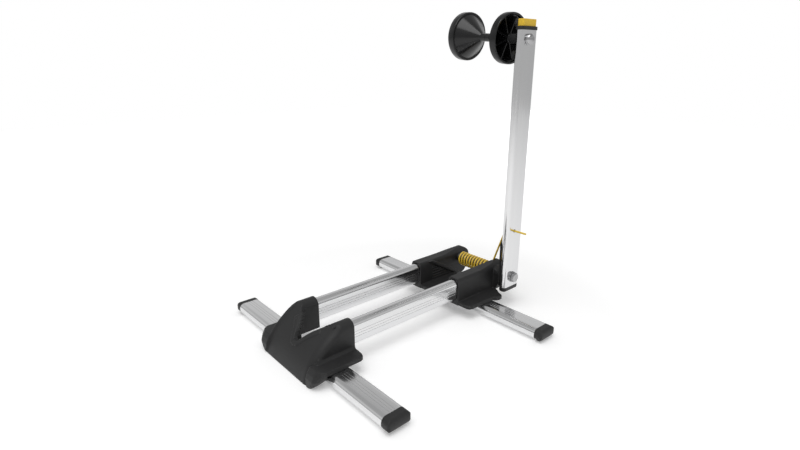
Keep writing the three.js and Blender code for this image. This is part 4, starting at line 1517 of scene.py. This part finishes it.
# ---- Hinge and spring ----
@dataclass
class Hinge:
    """The pivot bolt with its nut, sleeve, bush and washers."""

    y: float = HINGE_Y
    z: float = HINGE_Z
    flats: float = 13
    head_start: float = 82.7
    head_height: float = 5.3
    bolt_end_x: float = -50.5
    radius: float = 4
    bore: float = SHAFT_BORE
    nut_start_x: float = -45
    nut_end_x: float = -51.5
    nut_bore: float = 4.05
    sleeve_radius: float = 7
    sleeve_end_x: float = 30.4

    def line(self) -> Placer:
        """Places points about the hinge line."""
        return about(Axis.X, self.y, self.z)

    def ring(self, name: str, radius: float, start: float, end: float) -> bpy.types.Object:
        """A ring on the hinge line with softened edges.

        Args:
            name: The piece's name.
            radius: Outer radius.
            start: First end along X.
            end: Second end along X.

        Returns:
            The piece.
        """
        soft = 0.25
        profile = [(self.bore, start), (radius - soft, start), (radius, start + soft)]
        profile += [(radius, end - soft), (radius - soft, end), (self.bore, end)]
        obj = make_object(name, [turned(profile, 56, self.line())])
        shade_smooth(obj, 30)
        return obj

    def hexagon(self, name: str, start: float, end: float, domed: float) -> bpy.types.Object:
        """A hexagon with its corners turned off.

        Args:
            name: The piece's name.
            start: The flat end along X.
            end: The chamfered end along X.
            domed: How far the corners are turned down.

        Returns:
            The piece.
        """
        outline = regular((self.y, self.z), self.flats, 6)
        obj = make_object(name, [prism(Axis.X, outline, start, end)])
        reach = self.flats / 2 / math.cos(math.pi / 6)
        sign = 1 if end > start else -1
        profile = [
            (0, start - sign), (reach + 1, start - sign), (reach + 1, end - sign * (domed + 0.6)),
            (self.flats / 2 - 0.4, end), (0, end),
        ]
        carve(obj, [turned(profile, 56, self.line())], "INTERSECT")
        return obj

    def build(self, finishes: Finishes) -> None:
        """Builds and dresses the hardware.

        Args:
            finishes: The shared finishes.
        """
        end = self.head_start + self.head_height
        bolt = self.hexagon("hinge_bolt_fine", self.head_start, end, 1.3)
        shank = turned(
            [(0, self.bolt_end_x), (self.radius - 0.6, self.bolt_end_x)]
            + [(self.radius, self.bolt_end_x + 0.6), (self.radius, self.head_start + 1)]
            + [(0, self.head_start + 1)],
            40,
            self.line(),
        )
        carve(bolt, [shank], "UNION")
        bevelled(bolt, 0.25, 2)
        dress(bolt, finishes.zinc, "base", "hinge_bolt")
        nut = self.hexagon("hinge_nut_fine", self.nut_start_x, self.nut_end_x, 1.0)
        carve(nut, [rod(self.nut_bore, -60, -40, 40, self.line())], "DIFFERENCE")
        bevelled(nut, 0.2, 2)
        dress(nut, finishes.black_steel, "base", "hinge_nut")
        rings = {
            "hinge_washer_outer": (8.5, 80.95, 82.55, "base"),
            "hinge_washer_inner": (8.5, 64.2, 65.8, "base"),
            "arm_bush": (6.5, 69.9, 79.1, "arm"),
        }
        for node, (radius, start, stop, body) in rings.items():
            piece = self.ring(node + "_fine", radius, start, stop)
            dress(piece, finishes.zinc, body, node)
        reach = self.sleeve_end_x
        sleeve = self.ring("hinge_sleeve_fine", self.sleeve_radius, -reach, reach)
        dress(sleeve, finishes.black_steel, "base", "hinge_sleeve")


@dataclass
class Spring:
    """The torsion spring round the sleeve, anchored in the left ear and hooked through the arm."""

    y: float = HINGE_Y
    z: float = HINGE_Z
    wire: float = 1.5
    coil: float = 10.2
    start_x: float = -24
    end_x: float = 32
    turns: float = 10
    start_angle: float = 0
    room_radius: float = 13
    room_end_x: float = 34.5
    anchor_x: float = -40
    bend: Triple = (65.3, 319.5, 125.6)
    tip_x: float = 101
    steps_per_turn: int = 28
    sides: int = 16

    def on_coil(self, angle: float) -> Pair:
        """The coil's centre line at an angle, as (y, z)."""
        return (self.y + self.coil * math.cos(angle), self.z + self.coil * math.sin(angle))

    def corner(self, before: Vector, at: Vector, after: Vector, reach: float) -> list[Vector]:
        """A rounded bend.

        Args:
            before: A point on the way in.
            at: The sharp corner.
            after: A point on the way out.
            reach: How far from the corner the bend starts.

        Returns:
            The points round the bend.
        """
        start = at + (before - at).normalized() * reach
        end = at + (after - at).normalized() * reach
        points = []
        for i in range(9):
            t = i / 8
            points.append(start * (1 - t) ** 2 + at * 2 * t * (1 - t) + end * t * t)
        return points

    def path(self) -> list[Vector]:
        """The wire's centre line from its anchor to its tip.

        Returns:
            The centre line's points.
        """
        y, z = self.on_coil(self.start_angle)
        path = [Vector((self.anchor_x, y, z)), Vector((self.start_x - 1.2, y, z))]
        steps = round(self.turns * self.steps_per_turn)
        for i in range(1, steps + 1):
            share = i / steps
            x = self.start_x + (self.end_x - self.start_x) * share
            y, z = self.on_coil(self.start_angle + share * self.turns * 2 * math.pi)
            path.append(Vector((x, y, z)))
        last = path[-1]
        bend = Vector(self.bend)
        start = last + Vector((0, 0, 2.4))
        path += self.corner(last, start, bend, 2.0)[2:]
        path += [start.lerp(bend, 0.3), start.lerp(bend, 0.6), start.lerp(bend, 0.85)]
        tip = Vector((self.tip_x, self.bend[1], self.bend[2]))
        path += self.corner(start, bend, tip, 3.2)
        path += [bend.lerp(tip, 0.4), bend.lerp(tip, 0.7), tip]
        return path

    def build(self, finishes: Finishes) -> None:
        """Builds and dresses the spring, bent between the base and the arm.

        Args:
            finishes: The shared finishes.
        """
        piece = make_object("torsion_spring_wire", [swept(self.path(), self.wire, self.sides)])
        shade_smooth(piece)
        dress(piece, finishes.wire, None, "torsion_spring")
        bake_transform(piece)


# ---- Arm ----
@dataclass
class Arm:
    """The leaning tube with its caps, inner plate and top block."""

    inner_x: float = 68.2
    outer_x: float = 80.8
    y: float = HINGE_Y
    depth: float = 36.4
    corner: float = 6
    wall: float = 1.6
    bottom: float = 34
    top: float = 411
    cap_top: float = 415.5
    cap_overhang: float = 1
    block_top: float = 425
    cap_bottom: float = 27
    cap_soft: float = 1.8
    plate_x: Pair = (66, 68)
    plate_y: Pair = (306, 338)
    plate_z: Pair = (31, 110)
    plate_corner: float = 9
    bore: float = SHAFT_BORE
    hook_bore: float = 2.5
    hole_x: Pair = (60, 90)
    axle_hole_x: Pair = (60, 95)
    block_centre_x: float = 74.75
    block_width: float = 9.5
    block_depth: float = 31

    def section(self, inset: float) -> Outline:
        """The tube's section in (x, y), an inset inside its outer face.

        Args:
            inset: How far inside its outer face.

        Returns:
            The outline.
        """
        return rounded_box(
            ((self.inner_x + self.outer_x) / 2, self.y),
            self.outer_x - self.inner_x - 2 * inset,
            self.depth - 2 * inset,
            self.corner - inset,
            12,
        )

    def tube(self, hinge: Hinge, spring: Spring, roller: "Roller") -> bpy.types.Object:
        """The tube with its three cross holes.

        Args:
            hinge: The pivot through its foot.
            spring: The spring hooked through it.
            roller: The roller on its head.

        Returns:
            The piece.
        """
        shape = pipe(Axis.Z, self.section(0), self.section(self.wall), self.bottom, self.top)
        obj = make_object("arm_tube_fine", [shape])
        holes = [
            rod(self.bore, *self.hole_x, 36, hinge.line()),
            rod(self.hook_bore, *self.hole_x, 28, about(Axis.X, *spring.bend[1:])),
            rod(self.bore, *self.axle_hole_x, 36, roller.place),
        ]
        carve(obj, holes, "DIFFERENCE")
        shade_smooth(obj, 28)
        return obj

    def build(self, hinge: Hinge, spring: Spring, roller: "Roller", finishes: Finishes) -> None:
        """Builds and dresses the arm.

        Args:
            hinge: The pivot through its foot.
            spring: The spring hooked through it.
            roller: The roller on its head.
            finishes: The shared finishes.
        """
        dress(self.tube(hinge, spring, roller), finishes.arm, "arm", "arm_tube")
        middle = ((self.plate_y[0] + self.plate_y[1]) / 2, (self.plate_z[0] + self.plate_z[1]) / 2)
        size = (self.plate_y[1] - self.plate_y[0], self.plate_z[1] - self.plate_z[0])
        outline = rounded_box(middle, size[0], size[1], self.plate_corner, 10)
        plate = make_object("arm_plate_fine", [prism(Axis.X, outline, *self.plate_x)])
        bore = rod(self.bore, *self.hole_x, 32, hinge.line())
        carve(plate, [bore], "DIFFERENCE")
        bevelled(plate, 0.4, 2)
        dress(plate, finishes.black, "arm", "arm_inner_plate")
        levels = [(self.cap_bottom + h, self.section(self.cap_soft - w)) for h, w in self.cap_curve()]
        levels.append((self.bottom - 0.15, self.section(0)))
        levels.append((self.bottom, self.section(0.15)))
        foot = make_object("arm_bottom_cap_fine", [lofted(levels)])
        shade_smooth(foot, 35)
        dress(foot, finishes.black, "arm", "arm_bottom_cap")
        head = make_object(
            "arm_top_cap_fine",
            [prism(Axis.Z, self.section(-self.cap_overhang), self.top, self.cap_top)],
        )
        bevelled(head, 0.5, 3)
        dress(head, finishes.black, "arm", "arm_top_cap")
        middle = (self.block_centre_x, self.y)
        outline = rounded_box(middle, self.block_width, self.block_depth, 2.5, 8)
        top = make_object("arm_block_fine", [prism(Axis.Z, outline, self.cap_top, self.block_top)])
        bevelled(top, 0.6, 3)
        dress(top, finishes.yellow, "arm", "arm_top_plug")

    def cap_curve(self) -> list[Pair]:
        """The bottom cap's rounded edge, as (height, width gained).

        Returns:
            The points.
        """
        return [
            (self.cap_soft * (1 - math.cos(a)), self.cap_soft * math.sin(a))
            for a in [QUARTER * i / 6 for i in range(7)]
        ]


# ---- Roller ----
@dataclass
class Roller:
    """The pair of cones on their tilted axle, with the spacer and the domed nut."""

    tilt: float = math.radians(3.6)
    yaw: float = math.radians(4.5)
    y: float = 325
    at_arm_z: float = 399
    groove_s: float = 4.7
    rim: float = 34.4
    rim_start: float = 39
    rim_end: float = 47.4
    rim_wall: float = 2.6
    neck: float = 5.7
    neck_end: float = 10
    hub: float = 7
    hub_end: float = 46.4
    wall: float = 3
    rim_groove: tuple[Pair, ...] = ((3.8, 0.0), (3.3, 0.9), (2.7, 0.5))
    bead: float = 1.5
    webs: int = 8
    web: float = 1.5
    web_edge_s: float = 41.5
    bore: float = SHAFT_BORE
    play: float = 0.3
    rod_radius: float = 4
    spacer: float = 6.5
    spacer_end: float = 75
    arm_outer_s: float = 76
    dome: float = 7.3
    dome_height: float = 5.4
    dome_base: float = 85.8
    dome_top: float = 89.3
    flat_cut: Pair = (67.9, 120)
    nut_cut: Pair = (60, 81.1)
    steps: int = 112

    def place(self, radius: float, along: float, angle: float) -> Triple:
        """A point about the tilted axle.

        Args:
            radius: Distance from the line.
            along: Distance along the line.
            angle: Angle round the line in radians.

        Returns:
            The place.
        """
        origin_z = self.at_arm_z + 80.8 * math.tan(self.tilt)
        cos, sin = math.cos(self.tilt), math.sin(self.tilt)
        up = radius * math.sin(angle)
        across = radius * math.cos(angle)
        level = along * cos + up * sin
        return (
            level * math.cos(self.yaw) + across * math.sin(self.yaw),
            self.y - level * math.sin(self.yaw) + across * math.cos(self.yaw),
            origin_z - along * sin + up * cos,
        )

    def cone(self, name: str, side: Side) -> bpy.types.Object:
        """One cone with its hollow outer side.

        Args:
            name: The piece's name.
            side: Which cone.

        Returns:
            The piece.
        """
        inner_rim = self.rim - self.rim_wall
        bead = self.bead
        profile = [(self.bore, 0.15), (self.neck - 0.3, 0.15), (self.neck, 0.45)]
        profile += [(self.neck, self.neck_end - 2), (self.neck + 0.15, self.neck_end - 0.6)]
        profile += [(self.neck + 0.8, self.neck_end + 0.6)]
        run = (self.rim_start - self.neck_end) / (self.rim - self.neck)

        def face_s(radius: float) -> float:
            """Where the cone's face is at a radius."""
            return self.neck_end + (radius - self.neck) * run

        for inside, sunk in self.rim_groove:
            profile.append((self.rim - inside, face_s(self.rim - inside) + sunk))
        middle = self.rim - bead
        for i in range(9):
            a = math.radians(-50 + 140 * i / 8)
            across, along = bead * math.sin(a), bead * math.cos(a)
            profile.append((middle + across, face_s(middle) + 0.3 - along))
        profile += [(self.rim, self.rim_end - 0.8), (self.rim - 0.25, self.rim_end - 0.25)]
        profile += [(self.rim - 0.8, self.rim_end), (inner_rim + 0.5, self.rim_end)]
        profile += [(inner_rim, self.rim_end - 0.5), (inner_rim, self.rim_start + self.wall)]
        floor = self.neck_end + 9
        profile += [(self.hub + self.wall, floor), (self.hub, floor)]
        profile += [(self.hub, self.hub_end - 0.5), (self.hub - 0.5, self.hub_end)]
        profile += [(self.bore, self.hub_end)]
        placed = [(radius, self.groove_s + side.value * s) for radius, s in profile]
        obj = make_object(name, [turned(placed, self.steps, self.place)])
        webs = []
        half = self.web / 2
        for i in range(self.webs):
            angle = 2 * math.pi * (i + 0.5) / self.webs + QUARTER
            corners = []
            edge = [
                (self.hub - 1, self.neck_end + 3), (inner_rim + 1, self.rim_start + 2),
                (inner_rim + 1, self.web_edge_s), (self.hub - 1, self.web_edge_s),
            ]
            for sign in (-1, 1):
                for radius, s in edge:
                    turn = math.atan2(sign * half, radius)
                    reach = math.hypot(radius, half)
                    at = self.groove_s + side.value * s
                    corners.append(self.place(reach, at, angle + turn))
            faces = [(0, 1, 2, 3), (7, 6, 5, 4)]
            faces += [(i2, (i2 + 1) % 4, 4 + (i2 + 1) % 4, 4 + i2) for i2 in range(4)]
            webs.append(Shape(corners, faces))
        carve(obj, webs, "UNION")
        shade_smooth(obj, 32)
        return obj

    def build(self, finishes: Finishes) -> None:
        """Builds and dresses the roller.

        Args:
            finishes: The shared finishes.
        """
        for side in Side:
            node = "roller_cone_" + side.name.lower()
            piece = self.cone(node + "_fine", side)
            dress(piece, finishes.roller, "cone_" + side.name.lower(), node)
        start = self.groove_s - self.hub_end - self.play
        axle = [(0, start - 3.5), (5.0, start - 3.5), (6.3, start - 3.0), (7, start - 2.0)]
        axle += [(7, start - 0.2), (6.8, start), (self.rod_radius, start), (self.rod_radius, 84.9)]
        axle += [(self.rod_radius - 0.6, 85.5), (0, 85.5)]
        piece = make_object("roller_axle_fine", [turned(axle, 48, self.place)])
        shade_smooth(piece, 32)
        dress(piece, finishes.zinc, "arm", "roller_axle")
        start = self.groove_s + self.hub_end + self.play
        tube = [(self.bore, start), (self.spacer - 0.3, start), (self.spacer, start + 0.3)]
        tube += [(self.spacer, self.spacer_end), (self.bore, self.spacer_end)]
        self.fitted("roller_spacer", tube, 48, self.flat_cut, finishes.black)
        dome = [(0, self.dome_base), (self.bore, self.dome_base), (self.bore, self.arm_outer_s)]
        dome.append((self.dome, self.arm_outer_s))
        height = self.dome_height
        for i in range(11):
            a = QUARTER * i / 10
            dome.append((self.dome * math.cos(a), self.dome_top - height + height * math.sin(a)))
        self.fitted("roller_nut", dome, 64, self.nut_cut, finishes.zinc)

    def fitted(self, node: str, profile: Outline, steps: int, cut: Pair, finish: Finish) -> None:
        """Builds and dresses a turned piece that is cut flat where it meets the upright arm.

        Args:
            node: The piece's node.
            profile: Its profile as (radius, along).
            steps: How many sides it has.
            cut: What is cut away along X.
            finish: Its finish.
        """
        piece = make_object(node + "_fine", [turned(profile, steps, self.place)])
        carve(piece, [block(cut, (0, 500), (0, 500))], "DIFFERENCE")
        shade_smooth(piece, 32)
        dress(piece, finish, "arm", node)


# ---- Screws ----
@dataclass
class Screws:
    """The cross-headed screws beneath the feet and the rails."""

    head: float = 3.8
    height: float = 1.8
    shank: float = 2
    foot_x: float = 66
    rail_front_y: float = 30
    rail_rear_y: float = 244
    front_point_z: float = 9
    rear_point_z: float = 23
    rail_point_z: float = 31

    def screw(self, name: str, x: float, y: float, head_z: float, top: float) -> bpy.types.Object:
        """One screw driven up from below.

        Args:
            name: The piece's name.
            x: Its place along X.
            y: Its place along Y.
            head_z: The lowest height of its head.
            top: The height of its point.

        Returns:
            The piece.
        """
        face = head_z + self.height
        profile = [(0, head_z), (2.2, head_z), (3.2, head_z + 0.35), (self.head, head_z + 1.0)]
        profile += [(self.head, face), (self.shank, face), (self.shank, top - 2), (0.4, top)]
        profile += [(0, top)]
        obj = make_object(name, [turned(profile, 32, about(Axis.Z, x, y))])
        cross = [
            block((x - 1.9, x + 1.9), (y - 0.4, y + 0.4), (head_z - 1, head_z + 1.1)),
            block((x - 0.4, x + 0.4), (y - 1.9, y + 1.9), (head_z - 1, head_z + 1.1)),
        ]
        carve(obj, cross, "DIFFERENCE")
        shade_smooth(obj, 30)
        return obj

    def build(self, feet: Feet, rails: Rails, finishes: Finishes) -> None:
        """Builds and dresses the eight screws.

        Args:
            feet: The feet.
            rails: The rails.
            finishes: The shared finishes.
        """
        foot_head = feet.bottom - self.height
        rail_head = TOWERS.floor - self.height
        for side in Side:
            label = side.name.lower()
            x = side.value * self.foot_x
            rail = side.value * rails.centre_x
            rows = {
                "foot_screw_front_" + label: (x, 0.0, foot_head, self.front_point_z),
                "foot_screw_rear_" + label: (x, feet.rear_y, foot_head, self.rear_point_z),
                "rail_screw_front_" + label: (rail, self.rail_front_y, rail_head, self.rail_point_z),
                "rail_screw_rear_" + label: (rail, self.rail_rear_y, rail_head, self.rail_point_z),
            }
            for node, (at_x, at_y, low, top) in rows.items():
                piece = self.screw(node + "_fine", at_x, at_y, low, top)
                dress(piece, finishes.zinc, "base", node)


# ---- Studio ----
@dataclass
class Studio:
    """A pale floor, a soft lamp, a white background and the camera at the photograph's angle."""

    camera_place: Triple = (510.1, -288.39, 371.5)
    yaw: float = 138.74
    pitch: float = -18.09
    lens: float = 22.633
    sky: float = 0.5
    room: tuple[Pair, ...] = ((0, 0.5), (0.3, 0.56), (0.42, 0.72), (0.55, 0.56), (0.68, 0.42), (1, 0.42))
    floor_reach: float = 3.0
    floor_drop: float = 0.0002
    floor_colour: float = 0.9
    floor_glow: float = 0.24
    glow_span: Pair = (0.32, 1.3)
    lamp_place: Triple = (0.35, -0.55, 1.9)
    lamp_aim: Triple = (0, 0, 0.1)
    lamp_size: float = 1.5
    lamp_power: float = 19.0

    def camera(self) -> None:
        """Makes the camera and sets it as the scene's."""
        data = bpy.data.cameras.new("camera")
        data.lens = self.lens
        data.sensor_width = 36
        data.sensor_fit = "HORIZONTAL"
        data.clip_start = 0.01
        data.clip_end = 50
        camera = bpy.data.objects.new("camera", data)
        bpy.context.scene.collection.objects.link(camera)
        yaw, pitch = math.radians(self.yaw), math.radians(self.pitch)
        forward = Vector(
            (math.cos(pitch) * math.cos(yaw), math.cos(pitch) * math.sin(yaw), math.sin(pitch))
        )
        camera.rotation_euler = forward.to_track_quat("-Z", "Y").to_euler()
        camera.location = to_frame(self.camera_place)
        bpy.context.scene.camera = camera

    def world(self) -> None:
        """Makes the world: white behind the object, and a pale grey room for its reflections."""
        graph = Graph(bpy.data.worlds.new("room"))
        bpy.context.scene.world = graph.owner
        graph.tree.nodes.clear()
        rays = graph.add("LightPath").outputs
        direction = graph.add("SeparateXYZ", graph.add("TexCoord").outputs["Generated"])
        height = graph.add("ValToRGB", direction.outputs["Z"])
        elements = height.color_ramp.elements
        for at, _ in self.room[1:-1]:
            elements.new(at)
        for element, (_, level) in zip(elements, self.room):
            element.color = (level, level, level, 1)
        room = graph.add("Background", height.outputs["Color"], 1.0)
        sky = graph.add("Background", (1, 1, 1), self.sky)
        white = graph.add("Background", (1, 1, 1), 1.0)
        lit = graph.add("MixShader", rays["Is Glossy Ray"], sky.outputs[0], room.outputs[0])
        seen = graph.math("MAXIMUM", rays["Is Camera Ray"], rays["Is Transmission Ray"])
        shown = graph.add("MixShader", seen, lit.outputs[0], white.outputs[0])
        graph.add("OutputWorld", shown.outputs[0])

    def floor(self) -> None:
        """Makes the pale floor, which keeps the object's shadow and turns white far out."""
        mesh = bpy.data.meshes.new("floor")
        corners = [(-1, -1), (1, -1), (1, 1), (-1, 1)]
        reach = self.floor_reach
        points = [(x * reach, y * reach, -self.floor_drop) for x, y in corners]
        mesh.from_pydata(points, [], [(0, 1, 2, 3)])
        floor = bpy.data.objects.new("floor", mesh)
        bpy.context.scene.collection.objects.link(floor)
        graph = Graph(bpy.data.materials.new("pale_floor"))
        rays = graph.add("LightPath").outputs
        place = graph.add("NewGeometry").outputs["Position"]
        away = graph.add("VectorMath", place, operation="LENGTH").outputs["Value"]
        far = graph.ramp(away, self.floor_glow, 1.0, self.glow_span)
        seen = graph.math("MAXIMUM", rays["Is Camera Ray"], rays["Is Transmission Ray"])
        seen = graph.math("MAXIMUM", seen, rays["Is Glossy Ray"])
        straight = graph.math("MULTIPLY", rays["Is Camera Ray"], far)
        material = graph.surface(
            Base_Color=(self.floor_colour,) * 3,
            Roughness=0.9,
            Specular_IOR_Level=0.0,
            Emission_Color=(1, 1, 1),
            Emission_Strength=graph.math(
                "MAXIMUM", straight, graph.math("MULTIPLY", seen, self.floor_glow)
            ),
        )
        mesh.materials.append(material)

    def lamp(self) -> None:
        """Makes the soft area lamp."""
        data = bpy.data.lights.new("key", "AREA")
        data.shape = "RECTANGLE"
        data.size = data.size_y = self.lamp_size
        data.energy = self.lamp_power
        lamp = bpy.data.objects.new("key", data)
        bpy.context.scene.collection.objects.link(lamp)
        lamp.location = self.lamp_place
        direction = Vector(self.lamp_aim) - Vector(self.lamp_place)
        lamp.rotation_euler = direction.to_track_quat("-Z", "Y").to_euler()

    def build(self) -> None:
        """Builds the studio."""
        self.camera()
        self.world()
        self.floor()
        self.lamp()
        LOG.info("studio: camera, room, floor and lamp")


def main() -> None:
    """Builds the rack in order and reports each piece."""
    logging.basicConfig(level=logging.INFO, format="%(name)s %(message)s")
    finishes = Finishes()
    feet, rails = Feet(), Rails()
    spring, hinge, roller = Spring(), Hinge(), Roller()
    bpy.context.scene.view_settings.view_transform = "Standard"
    Studio().build()
    feet.build(finishes)
    rails.build(finishes)
    FrontBracket().build(rails, finishes)
    RearBracket().build(rails, spring, finishes)
    hinge.build(finishes)
    spring.build(finishes)
    Arm().build(hinge, spring, roller, finishes)
    roller.build(finishes)
    Screws().build(feet, rails, finishes)


if __name__ == "__main__":
    main()
